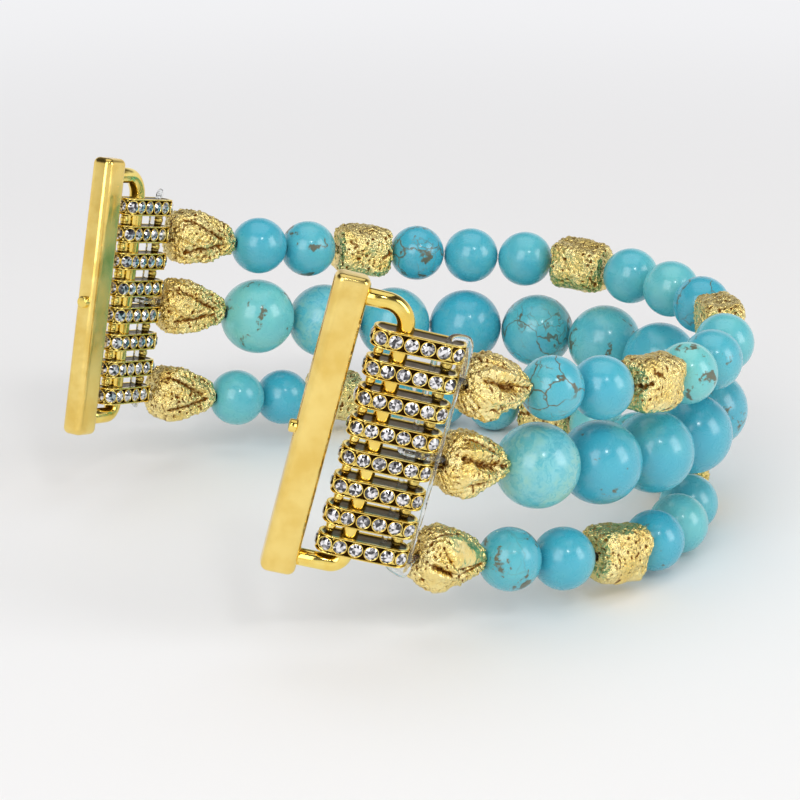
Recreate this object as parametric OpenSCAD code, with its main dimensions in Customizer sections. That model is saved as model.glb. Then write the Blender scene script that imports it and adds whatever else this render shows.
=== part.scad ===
// Stretch watch band: three strands of turquoise beads and gold nuggets on clear
// elastic, joined at each end to a stack of eight rhinestone bars. A gold wire bail
// carries each stack and ends in a lug bar that slides into the watch case.
// The band stands on its side: X runs from the lugs to the far side of the loop,
// Y from the front end to the rear end, Z is up. The rear half mirrors the front.

/* [Beads] */
// Diameter of the turquoise beads in the top and bottom strands
small_bead_d = 6; // [5.4:0.1:6.6]
// Diameter of the turquoise beads in the middle strand
large_bead_d = 8; // [7.4:0.1:8.8]
// Drilled hole through every bead and nugget
bead_hole_d = 1; // [0.9:0.05:1.3]
// Clearance between neighbours in the top and bottom strands
small_gap = 0.1; // [0.08:0.02:0.3]
// Clearance between neighbours in the middle strand
large_gap = 0.2; // [0.18:0.02:0.4]
// Clearance at the two places in each half where the band flexes
flex_gap = 0.3; // [0.26:0.02:0.5]

/* [Gold nuggets] */
// Width of a gold nugget across the strand
nugget_w = 6; // [5:0.1:6.6]
// Thickness of a gold nugget
nugget_t = 5.2; // [4.4:0.1:6]
// Length of a tapered end nugget
cone_len = 7.8; // [7:0.1:9]
// Width of a tapered end nugget at its wide end
cone_w = 6.2; // [5.4:0.1:6.6]
// Width of a tapered end nugget at its tip
cone_tip_w = 3; // [2.4:0.1:3.8]
// Mouth in the wide end, where the elastic is tied
mouth_d = 3; // [2.8:0.1:3.4]
// Depth of that mouth
mouth_depth = 3; // [2.6:0.1:4]

/* [Loop] */
// Clearance between the top and the middle strand at the back of the loop
upper_clear = 0.8; // [0.4:0.1:2]
// Clearance between the middle and the bottom strand at the back of the loop
lower_clear = 1.7; // [0.4:0.1:3]
// X of the middle strand's centre bead
back_x = 28.6; // [20:0.1:36]
// How far the top strand's centre bead sits beyond the middle one
top_back = 1.05; // [-2:0.01:3]
// How far the bottom strand's centre bead sits short of the middle one
bottom_back = 2.85; // [-2:0.01:4]
// Length of strand in the round back, from the centre bead
back_len = 26; // [22:0.5:30]
// Length of strand in the side of the loop
side_len = 20; // [16:0.5:24]
// Turn of the top strand over the back, in degrees
top_back_turn = 60.5; // [54:0.1:68]
// Turn of the top strand over the side, in degrees
top_side_turn = 29.2; // [22:0.1:36]
// Turn of the top strand over the end, in degrees
top_end_turn = -9.7; // [-16:0.1:-4]
// Turn of the middle strand over the back, in degrees
middle_back_turn = 64.9; // [58:0.1:72]
// Turn of the middle strand over the side, in degrees
middle_side_turn = 22.1; // [16:0.1:30]
// Turn of the middle strand over the end, in degrees
middle_end_turn = -5.2; // [-12:0.1:2]
// Turn of the bottom strand over the back, in degrees
bottom_back_turn = 57.8; // [52:0.1:66]
// Turn of the bottom strand over the side, in degrees
bottom_side_turn = 39.5; // [32:0.1:46]
// Turn of the bottom strand over the end, in degrees
bottom_end_turn = -13.7; // [-20:0.1:-6]
// How far the top strand climbs to its end
top_rise = 6; // [4:0.05:8]
// How far the middle strand climbs to its end
middle_rise = 6.65; // [4:0.05:8]
// How far the bottom strand climbs to its end
bottom_rise = 6.05; // [4:0.05:8]
// Length of level strand before the climb
level_len = 18; // [10:1:30]

/* [Bar stack] */
// Distance between neighbouring bars
bar_pitch = 2.82; // [2.7:0.01:3.1]
// Height of one bar
bar_h = 1.75; // [1.65:0.05:1.9]
// Thickness of a bar from face to face
bar_t = 2.6; // [2.5:0.05:2.8]
// Distance between neighbouring stones along a bar
stone_pitch = 1.46; // [1.44:0.01:1.55]
// Diameter of a rhinestone
stone_d = 1.2; // [1.1:0.05:1.25]
// Outer diameter of a stone's cup
cup_d = 1.4; // [1.36:0.02:1.44]
// Depth of the pockets between the cups
pocket = 0.28; // [0.2:0.02:0.32]
// Thickness of the thin rails above and below the cups
rail_t = 0.16; // [0.12:0.01:0.2]
// Depth of a stone's seat in its cup
seat_depth = 0.18; // [0.14:0.01:0.2]
// Height of a stone's crown above its cup
crown_h = 0.14; // [0.1:0.01:0.18]
// Diameter of the posts between the bars at the bead side
post_d = 1.1; // [0.9:0.05:1.2]
// Diameter of the posts between the bars at the lug side
knob_d = 0.9; // [0.7:0.05:1]
// Lean of the stack from upright, in degrees
stack_lean = 14; // [12:0.1:16]
// Turn of the stack away from the X axis, in degrees
stack_turn = 28; // [24:0.5:32]
// Clear space between the bars' tips and the flex line of the end nuggets
tip_clear = 0.6; // [0.55:0.05:1]
// Height of the stack's middle above the mean of the strands' ends
stack_rise = 1.03; // [0.8:0.01:1.2]

/* [Bail and lug bar] */
// Diameter of the bail's wire
wire_d = 1.6; // [1.4:0.05:1.65]
// Running clearance of the bars on the wire, on the radius
wire_fit = 0.05; // [0.03:0.01:0.08]
// Straight wire between the end bars and the bail's corners
corner_clear = 0.055; // [0.055:0.005:0.5]
// Radius of the bail's upper corner at the middle of the wire
top_r = 2.2; // [1.6:0.05:2.2]
// Radius of the bail's lower corner at the middle of the wire
low_r = 1.2; // [1.1:0.05:1.2]
// Length of the lug bar beyond the middle of each of the bail's arms
lug_over = 1.7; // [1.3:0.1:3]
// Depth of the lug bar in the slot
lug_depth = 3.2; // [3.1:0.1:4]
// Thickness of the lug bar
lug_t = 2.4; // [2.4:0.1:3]
// Clear space between the bars' tips and the lug bar
lug_clear = 1.2; // [0.8:0.1:3]
// Radius of the lug bar's long edges at the back
lug_edge_r = 0.8; // [0.6:0.05:1.1]
// Wall between the lug bar's back and the pin's chamber
back_wall = 0.7; // [0.5:0.05:1]
// Wall between the pin's chamber and the lug bar's face
face_wall = 0.4; // [0.3:0.05:0.6]
// Wall between the pin's chamber and the lug bar's sides
side_wall = 0.25; // [0.2:0.05:0.4]
// Diameter of the sprung lock pin
pin_d = 1.2; // [1.1:0.05:1.3]
// Running clearance of the lock pin, on the radius
pin_fit = 0.04; // [0.02:0.01:0.08]
// How far the lock pin stands out of the lug bar
pin_out = 0.6; // [0.4:0.05:0.8]
// Thickness of the flange that keeps the lock pin in
flange_t = 0.3; // [0.2:0.05:0.4]
// Diameter of the lock spring's wire
spring_wire_d = 0.2; // [0.15:0.01:0.25]

/* [Elastic] */
// Diameter of the clear elastic
cord_d = 0.7; // [0.6:0.05:0.75]
// Extra width of the bars' bores for the elastic
cord_fit = 0.25; // [0.2:0.05:0.4]
// Diameter of the knot that joins the outer elastic's two ends
outer_knot_d = 1.7; // [1.4:0.1:2]
// Depth of that knot in the bottom end nugget's mouth
outer_knot_depth = 2.2; // [1.8:0.1:2.4]
// Diameter of the knots at the middle elastic's ends
middle_knot_d = 1.1; // [0.9:0.1:1.2]
// Depth of those knots in the middle end nuggets' mouths
middle_knot_depth = 1; // [0.8:0.1:1.4]
// Distance of those knots from the middle of the mouth
middle_knot_side = 0.8; // [0.7:0.05:0.85]

/* [Hidden] */

gold = "goldenrod";
turquoise = "mediumturquoise";
clear_elastic = "whitesmoke";
crystal = "lavender";

small_pitch = small_bead_d + small_gap;
large_pitch = large_bead_d + large_gap;
// The nuggets fill out the small-bead strands to the length of the middle strand.
large_run = 6.5 * large_pitch;
nugget_len = (large_run - 6.5 * small_pitch - 2 * flex_gap) / 2 - small_gap / 2;
cone_pitch = cone_len + small_gap;
half_len = large_run + cone_pitch;

bottom_z = small_bead_d / 2;
middle_z = bottom_z + (small_bead_d + large_bead_d) / 2 + lower_clear;
top_z = middle_z + (small_bead_d + large_bead_d) / 2 + upper_clear;

// Strand spans of one half, counted from the half bead at the centre: each span
// holds one bead or nugget with half of the clearance on both of its sides.
nugget_pitch = nugget_len + small_gap / 2 + flex_gap / 2 + flex_gap / 2;
small_spans = [small_pitch, nugget_pitch, small_pitch, small_pitch, small_pitch,
    nugget_pitch, small_pitch, small_pitch, cone_pitch];
large_spans = [for (i = [1:6]) large_pitch, cone_pitch];

function clamp01(t) = max(0, min(1, t));
// Heading in degrees after a length s of strand: 0 runs along -Y, 90 along -X.
function heading(s, bends) =
    bends[0] * clamp01(s / back_len) + bends[1] * clamp01((s - back_len) / side_len)
    + bends[2] * clamp01((s - back_len - side_len) / (half_len - back_len - side_len));
function slope(s, rise) =
    2 * rise * max(0, s - level_len) / pow(half_len - level_len, 2);
function direction(s, bends, rise) =
    let (up = slope(s, rise), flat = sqrt(1 - up * up), h = heading(s, bends))
    [-sin(h) * flat, -cos(h) * flat, up];
// Corner points of a strand: span after span, each straight and of its true length.
function strand(spans, first, start, bends, rise) =
    [for (i = 0, p = start + [0, -first / 2, 0], s = first / 2; i <= len(spans);
        p = p + (i < len(spans) ? spans[i] : 0)
            * direction(s + (i < len(spans) ? spans[i] / 2 : 0), bends, rise),
        s = s + (i < len(spans) ? spans[i] : 0), i = i + 1) p];

top_turns = [top_back_turn, top_side_turn, top_end_turn];
middle_turns = [middle_back_turn, middle_side_turn, middle_end_turn];
bottom_turns = [bottom_back_turn, bottom_side_turn, bottom_end_turn];
top_points = strand(small_spans, small_pitch, [back_x + top_back, 0, top_z],
    top_turns, top_rise);
middle_points = strand(large_spans, large_pitch, [back_x, 0, middle_z],
    middle_turns, middle_rise);
bottom_points = strand(small_spans, small_pitch, [back_x - bottom_back, 0, bottom_z],
    bottom_turns, bottom_rise);
top_end = top_points[9];
middle_end = middle_points[7];
bottom_end = bottom_points[9];
ends_mean = (top_end + middle_end + bottom_end) / 3;

// The stack's own frame: x along the bars to the beads, y inward, z up the stack.
bar_r = bar_t / 2;
arc_x = 2 * stone_pitch;
tip_x = arc_x + bar_r;
tie_x = tip_x + tip_clear;
stack_top = 3.5 * bar_pitch + bar_h / 2;
arm_top = stack_top + corner_clear + top_r;
arm_low = stack_top + corner_clear + low_r;
lug_len = arm_top + arm_low + 2 * lug_over;
function turned(v) =
    let (x = cos(stack_lean) * v[0] + sin(stack_lean) * v[2],
        z = cos(stack_lean) * v[2] - sin(stack_lean) * v[0])
    [x * cos(stack_turn) + v[1] * sin(stack_turn),
        v[1] * cos(stack_turn) - x * sin(stack_turn), z];
stack_origin = ends_mean - turned([tie_x, 0, -stack_rise]);
function from_stack(v) = stack_origin + turned(v);
function bar_z(i) = (4.5 - i) * bar_pitch;

bail_x = -stone_pitch;
cord_x = 1.2 * stone_pitch;
post_x = tip_x - 1.35;
knob_x = 0.95 - tip_x;
lug_face_x = -tip_x - lug_clear;
lug_back_x = lug_face_x - lug_depth;
arm_end = lug_back_x + back_wall;
chamber_d = lug_t - 2 * side_wall;
chamber_len = lug_depth - back_wall - face_wall;
flange_d = chamber_d - 0.2;
pin_tip = 0.2;
// Length of pin behind its flange: past the wall, with a hair of slack at rest.
pin_reach = pin_out + back_wall + 0.02;
cord_hole_d = cord_d + cord_fit;
// A stone's girdle sits this far below its cup's rim.
girdle_drop = 0.03;

// Carries children from the stack's frame to the front end of the band.
module in_stack() {
    translate(stack_origin) rotate([0, stack_lean, -stack_turn]) children();
}

// The rear half is the front half mirrored through the plane Y = 0.
module rear() {
    mirror([0, 1, 0]) children();
}

// Sets children at a with their z axis running to b.
module along(a, b) {
    v = (b - a) / norm(b - a);
    translate(a) rotate([0, acos(v[2]), atan2(v[1], v[0])]) children();
}

// A drilled round bead in the middle of one span.
module bead(points, i, d) {
    along(points[i], points[i + 1])
        translate([0, 0, norm(points[i + 1] - points[i]) / 2])
            difference() {
                sphere(d = d, $fn = 48);
                cylinder(h = d + 1, d = bead_hole_d, center = true, $fn = 32);
            }
}

module small_bead(points, i) {
    bead(points, i, small_bead_d);
}

module large_bead(i) {
    bead(middle_points, i, large_bead_d);
}

// Crumpled surface: the share of the full radius left at angle u and height h.
function crumple(u, h, k) =
    1 - 0.045 * (1 + sin(2 * u + 140 * h + 77 * k)) * (1 + sin(3 * u - 95 * h + 41 * k)) / 2
    - 0.02 * (1 + sin(5 * u + 210 * h + 19 * k));
function oval(u, w, t, n) =
    pow(pow(abs(cos(u)) * 2 / w, n) + pow(abs(sin(u)) * 2 / t, n), -1 / n);

// Closed skin through equal rings of m points, with flat ends.
module skin(rings, m) {
    k = len(rings);
    polyhedron([for (ring = rings) each ring],
        concat([[for (j = [0:m - 1]) j]],
            [for (i = [0:k - 2], j = [0:m - 1]) [i * m + j, (i + 1) * m + (j + 1) % m,
                i * m + (j + 1) % m]],
            [for (i = [0:k - 2], j = [0:m - 1]) [i * m + j, (i + 1) * m + j,
                (i + 1) * m + (j + 1) % m]],
            [[for (j = [m - 1:-1:0]) (k - 1) * m + j]]), convexity = 4);
}

// Gold nugget: a crumpled block with rounded ends and a straight bore.
module nugget(points, i, k) {
    stations = [[0, 0.62], [0.06, 0.84], [0.18, 0.96], [0.38, 1], [0.62, 1], [0.82, 0.96],
        [0.94, 0.84], [1, 0.62]];
    rings = [for (s = stations) [for (j = [0:15])
        let (u = j * 22.5, r = oval(u, nugget_w, nugget_t, 2.8) * s[1] * crumple(u, s[0], k))
        [r * cos(u), r * sin(u), s[0] * nugget_len]]];
    along(points[i], points[i + 1]) translate([0, 0, small_gap / 2])
        difference() {
            skin(rings, 16);
            translate([0, 0, -1]) cylinder(h = nugget_len + 2, d = bead_hole_d, $fn = 32);
        }
}

// Tapered end nugget: pebbled tip at the beads, wide end with a mouth at the bars.
module end_nugget(points, i, k) {
    stations = [[0, 0.46], [0.06, 0.6], [0.2, 0.72], [0.36, 0.82], [0.54, 0.92], [0.72, 1],
        [0.86, 0.99], [0.95, 0.84], [1, 0.54]];
    tip_share = cone_tip_w / cone_w / 0.46;
    rings = [for (s = stations) [for (j = [0:15])
        let (u = j * 22.5, share = s[1] * (s[0] < 0.01 ? tip_share : 1),
            r = oval(u, cone_w, cone_w * 0.92, 2.3) * share * crumple(u, s[0], k))
        [r * cos(u), r * sin(u), s[0] * cone_len]]];
    along(points[i], points[i + 1]) translate([0, 0, small_gap])
        difference() {
            skin(rings, 16);
            translate([0, 0, -1]) cylinder(h = cone_len + 2, d = bead_hole_d, $fn = 32);
            translate([0, 0, cone_len - mouth_depth])
                cylinder(h = mouth_depth + 1, d = mouth_d, $fn = 32);
        }
}

// Flat bar outline with round ends.
module bar_block(r, h) {
    for (side = [-1, 1])
        translate([side * arc_x, 0, 0]) cylinder(h = h, r = r, center = true, $fn = 48);
    cube([2 * arc_x, 2 * r, h], center = true);
}

// Sets children at the fourteen stones of a bar, with z pointing outward.
module at_stones() {
    for (j = [-1.5:1:1.5]) {
        translate([j * stone_pitch, 0, 0]) rotate([90, 0, 0]) children();
        translate([j * stone_pitch, 0, 0]) rotate([-90, 0, 0]) children();
    }
    for (a = [30, 90, 150]) {
        translate([arc_x, 0, 0]) rotate([0, 0, a]) rotate([90, 0, 0]) children();
        translate([-arc_x, 0, 0]) rotate([0, 0, -a]) rotate([90, 0, 0]) children();
    }
}

// One bar: core between two rails, cups round the edge and posts down to the next bar.
module stone_bar(i) {
    gap = bar_pitch - bar_h;
    translate([0, 0, bar_z(i)])
        difference() {
            union() {
                bar_block(bar_r - pocket, bar_h);
                for (side = [-1, 1])
                    translate([0, 0, side * (bar_h - rail_t) / 2]) bar_block(bar_r, rail_t);
                at_stones() translate([0, 0, bar_r - pocket - 0.1])
                    cylinder(h = pocket + 0.1, d = cup_d, $fn = 32);
                if (i < 8) {
                    translate([post_x, 0, -bar_h / 2 - gap]) cylinder(h = gap, d = post_d, $fn = 32);
                    translate([knob_x, 0, -bar_h / 2 - gap]) cylinder(h = gap, d = knob_d, $fn = 32);
                }
            }
            at_stones() translate([0, 0, bar_r - seat_depth])
                cylinder(h = 1, d = stone_d, $fn = 32);
            translate([bail_x, 0, 0])
                cylinder(h = 4, d = wire_d + 2 * wire_fit, center = true, $fn = 32);
            translate([cord_x, 0, 0]) cylinder(h = 4, d = cord_hole_d, center = true, $fn = 32);
        }
}

// The clear stones of all eight bars, each seated on the floor of its cup.
module stones() {
    for (i = [1:8])
        translate([0, 0, bar_z(i)]) at_stones()
            translate([0, 0, bar_r - seat_depth]) {
                cylinder(h = seat_depth - girdle_drop, d = stone_d, $fn = 32);
                translate([0, 0, seat_depth - girdle_drop])
                    cylinder(h = crown_h + girdle_drop, d1 = stone_d, d2 = 0.6 * stone_d, $fn = 32);
            }
}

// The wire bail: straight run through the bars, two corners and two arms into the lug bar.
module bail() {
    translate([bail_x, 0, low_r - arm_low])
        cylinder(h = arm_top + arm_low - top_r - low_r, d = wire_d, $fn = 32);
    translate([bail_x - top_r, 0, arm_top - top_r]) rotate([90, 0, 0])
        rotate_extrude(angle = 90, $fn = 64) translate([top_r, 0]) circle(d = wire_d, $fn = 32);
    translate([bail_x - low_r, 0, low_r - arm_low]) rotate([-90, 0, 0])
        rotate_extrude(angle = 90, $fn = 64) translate([low_r, 0]) circle(d = wire_d, $fn = 32);
    translate([bail_x - top_r, 0, arm_top]) rotate([0, -90, 0])
        cylinder(h = bail_x - top_r - arm_end, d = wire_d, $fn = 32);
    translate([bail_x - low_r, 0, -arm_low]) rotate([0, -90, 0])
        cylinder(h = bail_x - low_r - arm_end, d = wire_d, $fn = 32);
}

// The lug bar: a rounded tongue for the case slot, bored for the bail and the lock pin.
module lug_bar() {
    difference() {
        translate([lug_back_x, 0, 0]) lug_block();
        for (z = [arm_top, -arm_low])
            translate([arm_end, 0, z]) rotate([0, 90, 0])
                cylinder(h = 2 * lug_depth, d = wire_d, $fn = 32);
        translate([lug_back_x - 1, 0, 0]) rotate([0, 90, 0])
            cylinder(h = back_wall + 1.3, d = pin_d + 2 * pin_fit, $fn = 32);
        translate([arm_end, 0, 0]) rotate([0, 90, 0])
            cylinder(h = chamber_len, d = chamber_d, $fn = 32);
    }
}

module lug_block() {
    r = lug_edge_r;
    mid = (arm_top - arm_low) / 2;
    for (side = [-1, 1])
        translate([r, side * (lug_t / 2 - r), mid])
            cylinder(h = lug_len, r = r, center = true, $fn = 32);
    translate([lug_depth / 2 + r / 2, 0, mid]) cube([lug_depth - r, lug_t, lug_len], center = true);
    translate([lug_depth / 2, 0, mid])
        cube([lug_depth, lug_t - 2 * r, lug_len], center = true);
}

// The sprung pin that clicks into the case, with a flange that keeps it in.
module lock_pin() {
    translate([lug_back_x - pin_out, 0, 0]) rotate([0, 90, 0]) {
        translate([0, 0, pin_tip])
            cylinder(h = pin_reach - pin_tip + flange_t, d = pin_d, $fn = 32);
        cylinder(h = pin_tip, d1 = pin_d - 2 * pin_tip, d2 = pin_d, $fn = 32);
        translate([0, 0, pin_reach]) cylinder(h = flange_t, d = flange_d, $fn = 32);
    }
}

// Small coil spring between the pin's flange and the chamber's floor.
module lock_spring() {
    wire = spring_wire_d;
    coil_r = flange_d / 2 - wire;
    start = lug_back_x - pin_out + pin_reach + flange_t + wire / 2;
    run = arm_end + chamber_len - wire / 2 - start;
    path = [for (i = [0:40]) let (a = i * 36) [start + run * i / 40, coil_r * cos(a),
        coil_r * sin(a)]];
    skin(tube(path, wire / 2, 6), 6);
}

// Unit vector, and the rings of a round tube that follows a path without twisting.
function unit(v) = v / norm(v);
function tube(path, r, m) =
    let (n = len(path),
        t = [for (i = [0:n - 1]) unit((i < n - 1 ? unit(path[i + 1] - path[i]) : [0, 0, 0])
            + (i > 0 ? unit(path[i] - path[i - 1]) : [0, 0, 0]))],
        u0 = unit(cross(t[0], abs(t[0][2]) < 0.8 ? [0, 0, 1] : [1, 0, 0])),
        u = [for (i = 0, v = u0; i < n; i = i + 1,
            v = i < n ? unit(v - t[i] * (v * t[i])) : v) v])
    [for (i = [0:n - 1]) let (w = cross(t[i], u[i]))
        [for (j = [0:m - 1]) path[i] + r * (cos(360 * j / m) * u[i] + sin(360 * j / m) * w)]];

function flip(v) = [v[0], -v[1], v[2]];
function flips(list) = [for (v = list) flip(v)];
function backwards(list) = [for (i = [len(list) - 1:-1:0]) list[i]];
// One corner-cutting pass that keeps both ends of a path.
function cut_corners(p) =
    concat([p[0]], [for (i = [0:len(p) - 2]) each [p[i] * 0.75 + p[i + 1] * 0.25,
        p[i] * 0.25 + p[i + 1] * 0.75]], [p[len(p) - 1]]);
// A point inside an end nugget's mouth: depth along its axis, and height and inward shift.
function in_mouth(points, depth, inward, up) =
    let (e = points[len(points) - 1], a = unit(points[len(points) - 2] - e),
        side = unit(cross(a, [0, 0, 1])))
    e + a * depth - side * inward + [0, 0, up];
function run_of(points) = [for (i = [0:len(points) - 2]) points[i]];

reach = bar_r + crown_h + cord_d / 2 + 0.06;
// The outer elastic over a bar's end on the outer side, from its hole to a nugget's mouth.
function over_end(points, s) =
    let (rim = s * (stack_top + cord_d / 2 + 0.08), row = s * stack_top)
    [from_stack([cord_x, 0, s * (stack_top - 0.3)]),
        from_stack([cord_x, -0.05, s * (stack_top + 0.3)]),
        from_stack([cord_x + 0.6, -0.3, rim + s * 0.12]),
        from_stack([arc_x + 0.3, -0.7, rim + s * 0.05]),
        from_stack([arc_x + 0.78 * reach, -0.75 * reach, rim - s * 0.05]),
        from_stack([arc_x + 0.8 * reach, -0.78 * reach, row - s * 0.6])];
top_join = cut_corners(concat(over_end(top_points, 1),
    [from_stack([arc_x + 0.82 * reach, -0.7 * reach, stack_top - 2]),
        in_mouth(top_points, -0.3, -0.7, 0.6), in_mouth(top_points, 1.2, -0.2, 0.2),
        in_mouth(top_points, 2.4, 0, 0)]));
bottom_join = cut_corners(concat(over_end(bottom_points, -1),
    [in_mouth(bottom_points, -0.5, -0.75, -0.3), in_mouth(bottom_points, 0.8, -0.3, -0.1),
        in_mouth(bottom_points, outer_knot_depth, 0, 0)]));
outer_front = concat(backwards(bottom_join), top_join);
outer_path = concat(outer_front, backwards(run_of(top_points)), flips(run_of(top_points)),
    flips(backwards(top_join)), flips(bottom_join), flips(backwards(run_of(bottom_points))),
    run_of(bottom_points), [in_mouth(bottom_points, outer_knot_depth + 0.1, 0, 0)]);

wrap_x = cord_x - cord_d - 0.1;
middle_join = cut_corners([in_mouth(middle_points, 2.6, 0, 0),
    in_mouth(middle_points, 0.5, 0.75, 0.1), from_stack([arc_x + 0.9, 0.95, -0.05]),
    from_stack([arc_x, 1, 0]), from_stack([wrap_x + 0.2, 1, 0]), from_stack([wrap_x, 0.4, 0]),
    from_stack([wrap_x, -0.4, 0]), from_stack([wrap_x + 0.2, -1, 0]),
    from_stack([arc_x, -1, 0]), from_stack([arc_x + 1.1, -1, -0.05]),
    in_mouth(middle_points, -0.4, -0.85, 0.1),
    in_mouth(middle_points, middle_knot_depth, -middle_knot_side, 0)]);
middle_path = concat(backwards(middle_join), backwards(run_of(middle_points)),
    flips(run_of(middle_points)), flips(middle_join));

module front_lug_bar() {
    color(gold) in_stack() lug_bar();
}

module front_bail() {
    color(gold) in_stack() bail();
}

module front_lock_pin() {
    color(gold) in_stack() lock_pin();
}

module front_lock_spring() {
    color(gold) in_stack() lock_spring();
}

module front_stone_bar_1() {
    color(gold) in_stack() stone_bar(1);
}

module front_stone_bar_2() {
    color(gold) in_stack() stone_bar(2);
}

module front_stone_bar_3() {
    color(gold) in_stack() stone_bar(3);
}

module front_stone_bar_4() {
    color(gold) in_stack() stone_bar(4);
}

module front_stone_bar_5() {
    color(gold) in_stack() stone_bar(5);
}

module front_stone_bar_6() {
    color(gold) in_stack() stone_bar(6);
}

module front_stone_bar_7() {
    color(gold) in_stack() stone_bar(7);
}

module front_stone_bar_8() {
    color(gold) in_stack() stone_bar(8);
}

module front_rhinestones() {
    color(crystal) in_stack() stones();
}

module front_top_end_nugget() {
    color(gold) end_nugget(top_points, 8, 1);
}

module front_middle_end_nugget() {
    color(gold) end_nugget(middle_points, 6, 2);
}

module front_bottom_end_nugget() {
    color(gold) end_nugget(bottom_points, 8, 3);
}

module front_small_beads_1() {
    color(turquoise) {
        for (i = [6:7]) small_bead(top_points, i);
        for (i = [6:7]) small_bead(bottom_points, i);
    }
}

module front_large_bead_1() {
    color(turquoise) large_bead(5);
}

module front_link_bead_1() {
    color(turquoise) large_bead(4);
}

module front_top_nugget_1() {
    color(gold) nugget(top_points, 5, 4);
}

module front_bottom_nugget_1() {
    color(gold) nugget(bottom_points, 5, 5);
}

module front_small_beads_2() {
    color(turquoise) {
        for (i = [2:4]) small_bead(top_points, i);
        for (i = [2:4]) small_bead(bottom_points, i);
    }
}

module front_large_beads_2() {
    color(turquoise) for (i = [2:3]) large_bead(i);
}

module front_link_bead_2() {
    color(turquoise) large_bead(1);
}

module front_top_nugget_2() {
    color(gold) nugget(top_points, 1, 6);
}

module front_bottom_nugget_2() {
    color(gold) nugget(bottom_points, 1, 7);
}

module rear_lug_bar() {
    color(gold) rear() in_stack() lug_bar();
}

module rear_bail() {
    color(gold) rear() in_stack() bail();
}

module rear_lock_pin() {
    color(gold) rear() in_stack() lock_pin();
}

module rear_lock_spring() {
    color(gold) rear() in_stack() lock_spring();
}

module rear_stone_bar_1() {
    color(gold) rear() in_stack() stone_bar(1);
}

module rear_stone_bar_2() {
    color(gold) rear() in_stack() stone_bar(2);
}

module rear_stone_bar_3() {
    color(gold) rear() in_stack() stone_bar(3);
}

module rear_stone_bar_4() {
    color(gold) rear() in_stack() stone_bar(4);
}

module rear_stone_bar_5() {
    color(gold) rear() in_stack() stone_bar(5);
}

module rear_stone_bar_6() {
    color(gold) rear() in_stack() stone_bar(6);
}

module rear_stone_bar_7() {
    color(gold) rear() in_stack() stone_bar(7);
}

module rear_stone_bar_8() {
    color(gold) rear() in_stack() stone_bar(8);
}

module rear_rhinestones() {
    color(crystal) rear() in_stack() stones();
}

module rear_top_end_nugget() {
    color(gold) rear() end_nugget(top_points, 8, 1);
}

module rear_middle_end_nugget() {
    color(gold) rear() end_nugget(middle_points, 6, 2);
}

module rear_bottom_end_nugget() {
    color(gold) rear() end_nugget(bottom_points, 8, 3);
}

module rear_small_beads_1() {
    color(turquoise) {
        rear() for (i = [6:7]) small_bead(top_points, i);
        rear() for (i = [6:7]) small_bead(bottom_points, i);
    }
}

module rear_large_bead_1() {
    color(turquoise) rear() large_bead(5);
}

module rear_link_bead_1() {
    color(turquoise) rear() large_bead(4);
}

module rear_top_nugget_1() {
    color(gold) rear() nugget(top_points, 5, 4);
}

module rear_bottom_nugget_1() {
    color(gold) rear() nugget(bottom_points, 5, 5);
}

module rear_small_beads_2() {
    color(turquoise) {
        rear() for (i = [2:4]) small_bead(top_points, i);
        rear() for (i = [2:4]) small_bead(bottom_points, i);
    }
}

module rear_large_beads_2() {
    color(turquoise) rear() for (i = [2:3]) large_bead(i);
}

module rear_link_bead_2() {
    color(turquoise) rear() large_bead(1);
}

module rear_top_nugget_2() {
    color(gold) rear() nugget(top_points, 1, 6);
}

module rear_bottom_nugget_2() {
    color(gold) rear() nugget(bottom_points, 1, 7);
}

// Three beads of a strand across the back: the centre bead and one on either side.
module centre_three(points, first, d) {
    bead([points[0] + [0, first, 0], points[0]], 0, d);
    bead(points, 0, d);
    rear() bead(points, 0, d);
}

module centre_small_beads() {
    color(turquoise) {
        centre_three(top_points, small_pitch, small_bead_d);
        centre_three(bottom_points, small_pitch, small_bead_d);
    }
}

module centre_large_beads() {
    color(turquoise) centre_three(middle_points, large_pitch, large_bead_d);
}

module outer_elastic() {
    color(clear_elastic) {
        skin(tube(outer_path, cord_d / 2, 8), 8);
        translate(in_mouth(bottom_points, outer_knot_depth, 0, 0))
            sphere(d = outer_knot_d, $fn = 20);
    }
}

module middle_elastic() {
    color(clear_elastic) {
        skin(tube(middle_path, cord_d / 2, 8), 8);
        knot = in_mouth(middle_points, middle_knot_depth, -middle_knot_side, 0);
        translate(knot) sphere(d = middle_knot_d, $fn = 20);
        rear() translate(knot) sphere(d = middle_knot_d, $fn = 20);
    }
}

front_lug_bar();
front_bail();
front_lock_pin();
front_lock_spring();
front_stone_bar_1();
front_stone_bar_2();
front_stone_bar_3();
front_stone_bar_4();
front_stone_bar_5();
front_stone_bar_6();
front_stone_bar_7();
front_stone_bar_8();
front_rhinestones();
front_top_end_nugget();
front_middle_end_nugget();
front_bottom_end_nugget();
front_small_beads_1();
front_large_bead_1();
front_link_bead_1();
front_top_nugget_1();
front_bottom_nugget_1();
front_small_beads_2();
front_large_beads_2();
front_link_bead_2();
front_top_nugget_2();
front_bottom_nugget_2();
centre_small_beads();
centre_large_beads();
rear_lug_bar();
rear_bail();
rear_lock_pin();
rear_lock_spring();
rear_stone_bar_1();
rear_stone_bar_2();
rear_stone_bar_3();
rear_stone_bar_4();
rear_stone_bar_5();
rear_stone_bar_6();
rear_stone_bar_7();
rear_stone_bar_8();
rear_rhinestones();
rear_top_end_nugget();
rear_middle_end_nugget();
rear_bottom_end_nugget();
rear_small_beads_1();
rear_large_bead_1();
rear_link_bead_1();
rear_top_nugget_1();
rear_bottom_nugget_1();
rear_small_beads_2();
rear_large_beads_2();
rear_link_bead_2();
rear_top_nugget_2();
rear_bottom_nugget_2();
outer_elastic();
middle_elastic();
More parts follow.
